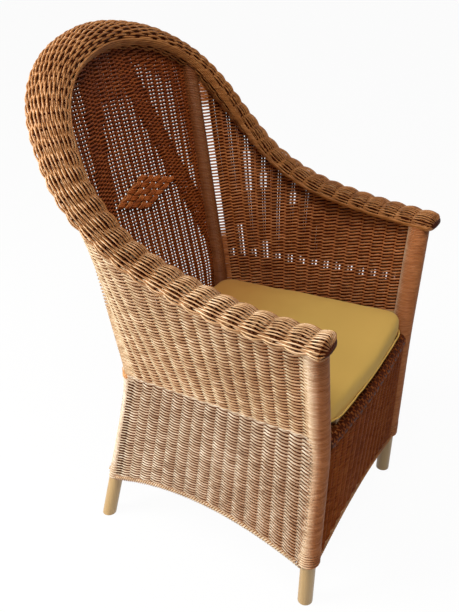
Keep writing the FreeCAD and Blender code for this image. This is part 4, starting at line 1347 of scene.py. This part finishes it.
# Nearly black reed: painted shade for the stakes, fillers, backing rods, rim ribs, post cores and binding
# solid that lie in the gaps and hollows of the weave.
REED_PAINTED_SHADE = reed_finish("stake_reed", (0.045, 0.015, 0.005), (0.075, 0.027, 0.009), (0.12, 0.048, 0.016),
                         coat=0.0, shine=0.03)
POLE = pole_finish("peeled_pole", (0.33, 0.19, 0.065), (0.49, 0.33, 0.135))
HEM = pole_finish("hem_rod_reed", (0.42, 0.24, 0.10), (0.62, 0.41, 0.19))
SLAT = pole_finish("sawn_slat", (0.42, 0.29, 0.16), (0.58, 0.43, 0.26))
CUSHION_CLOTH = cloth_finish("mustard_cotton", (0.46, 0.19, 0.040), (0.74, 0.47, 0.118))
STEEL = steel_finish("screw_steel")
SOLID_FINISHES = {"pole": POLE, "winding": REED_WINDING, "hem": HEM, "slat": SLAT, "screw": STEEL,
                  "weave": REED_PAINTED_SHADE, "stake": REED_PAINTED_SHADE, "rim": REED_PAINTED_SHADE,
                  "cushion_cloth": CUSHION_CLOTH, "cushion_foam": CUSHION_CLOTH}


def dress_solids():
    """Finishes for the solids that show as they are; the front rail's binding is dark behind its plait, as
    painted shade.
    """
    for part in frame["record"]["subparts"]:
        solid = frame["nodes"][part["node"]]
        dark = part["node"] == "front_rail_binding"
        solid.data.materials.clear()
        solid.data.materials.append(REED_PAINTED_SHADE if dark else SOLID_FINISHES[part["material_slot"]])


# Stage and light: lamps are name, place, what they point at, size, power and colour

FLOOR_HALF = 12
FLOOR_WHITE_SHARE = 0.96
WORLD_LIGHT = 0.13
LAMPS = [
    ("window", (-1.75, 1.75, 1.70), (-0.1, 0, 0.5), 1.2, 106, (1.0, 0.98, 0.95)),
    ("ceiling", (-1.05, -0.55, 2.6), (0.1, -0.15, 0.5), 1.0, 36, (1.0, 0.97, 0.93)),
]


def background_rays(tree):
    """1 for rays that show the background: straight from the camera, mirrored, or let through."""
    rays = node(tree, "ShaderNodeLightPath")
    seen = node(tree, "ShaderNodeMath", operation="ADD", use_clamp=True)
    more = node(tree, "ShaderNodeMath", operation="ADD", use_clamp=True)
    tree.links.new(rays.outputs["Is Camera Ray"], seen.inputs[0])
    tree.links.new(rays.outputs["Is Glossy Ray"], seen.inputs[1])
    tree.links.new(seen.outputs["Value"], more.inputs[0])
    tree.links.new(rays.outputs["Is Transmission Ray"], more.inputs[1])
    return more.outputs["Value"]


def paper_finish(name):
    """Pale paper that shows white and keeps a faint shadow."""
    material, tree, surface = new_finish(name)
    surface.inputs["Base Color"].default_value = (0.80, 0.80, 0.80, 1)
    surface.inputs["Roughness"].default_value = 0.9
    surface.inputs["Specular IOR Level"].default_value = 0.1
    white = node(tree, "ShaderNodeEmission", {"Strength": 1.0})
    part = node(tree, "ShaderNodeMath", {1: FLOOR_WHITE_SHARE}, operation="MULTIPLY")
    mix = node(tree, "ShaderNodeMixShader")
    tree.links.new(background_rays(tree), part.inputs[0])
    tree.links.new(part.outputs["Value"], mix.inputs["Fac"])
    tree.links.new(surface.outputs["BSDF"], mix.inputs[1])
    tree.links.new(white.outputs["Emission"], mix.inputs[2])
    tree.links.new(mix.outputs["Shader"], tree.nodes["Material Output"].inputs["Surface"])
    return material


def studio_floor():
    mesh = bpy.data.meshes.new("studio_floor")
    shape = bmesh.new()
    bmesh.ops.create_grid(shape, x_segments=1, y_segments=1, size=FLOOR_HALF)
    shape.to_mesh(mesh)
    shape.free()
    floor = bpy.data.objects.new("studio_floor", mesh)
    bpy.context.scene.collection.objects.link(floor)
    floor.data.materials.append(paper_finish("white_paper"))


def studio_world():
    """Background that shows white and lights the chair a little from all round."""
    world = bpy.data.worlds.new("studio")
    bpy.context.scene.world = world
    world.use_nodes = True
    sky = world.node_tree
    glow = sky.nodes["Background"]
    glow.inputs["Color"].default_value = (1, 1, 1, 1)
    level = node(sky, "ShaderNodeMapRange", {"To Min": WORLD_LIGHT, "To Max": 1.0})
    sky.links.new(background_rays(sky), level.inputs["Value"])
    sky.links.new(level.outputs["Result"], glow.inputs["Strength"])


def studio_lamps():
    for name, place, target, size, power, tint in LAMPS:
        data = bpy.data.lights.new(name, "AREA")
        data.size = size
        data.energy = power
        data.color = tint
        lamp = bpy.data.objects.new(name, data)
        lamp.location = place
        lamp.rotation_euler = (Vector(target) - Vector(place)).to_track_quat("-Z", "Y").to_euler()
        bpy.context.scene.collection.objects.link(lamp)


# Camera where the photograph was taken from, angles in radians

CAMERA_AT = (-1.1361, -0.6691, 1.2134)
CAMERA_YAW = -1.029545
CAMERA_PITCH = 0.503024
CAMERA_ROLL = -0.030237
FOCAL_PIXELS = 727.54
PHOTO_HEIGHT_PIXELS = 612
SENSOR_MM = 36


def photo_camera():
    level = math.cos(CAMERA_PITCH)
    back = Vector((math.sin(CAMERA_YAW) * level, -math.cos(CAMERA_YAW) * level, math.sin(CAMERA_PITCH)))
    right = Vector((math.cos(CAMERA_YAW), math.sin(CAMERA_YAW), 0))
    up = back.cross(right)
    turned_right = right * math.cos(CAMERA_ROLL) + up * math.sin(CAMERA_ROLL)
    turned_up = up * math.cos(CAMERA_ROLL) - right * math.sin(CAMERA_ROLL)
    data = bpy.data.cameras.new("photo_camera")
    data.sensor_width = SENSOR_MM
    data.lens = FOCAL_PIXELS / PHOTO_HEIGHT_PIXELS * SENSOR_MM
    camera = bpy.data.objects.new("photo_camera", data)
    turn = Matrix((turned_right, turned_up, back)).transposed().to_4x4()
    camera.matrix_world = Matrix.Translation(CAMERA_AT) @ turn
    bpy.context.scene.collection.objects.link(camera)
    bpy.context.scene.camera = camera


dress_solids()
for side, sign in SIDES:
    side_wall(side, sign)
    side_skirt(side, sign)
    for end in OUTWARD:
        winding(end, side, sign)
    lashing(side, sign)
for end in OUTWARD:
    cross_skirt(end)
back_wall()
back_stakes()
back_diamond()
rolled_rim()
front_binding()
borders()
seat_cushion()
studio_floor()
studio_world()
studio_lamps()
photo_camera()
bpy.context.scene.view_settings.view_transform = "Standard"
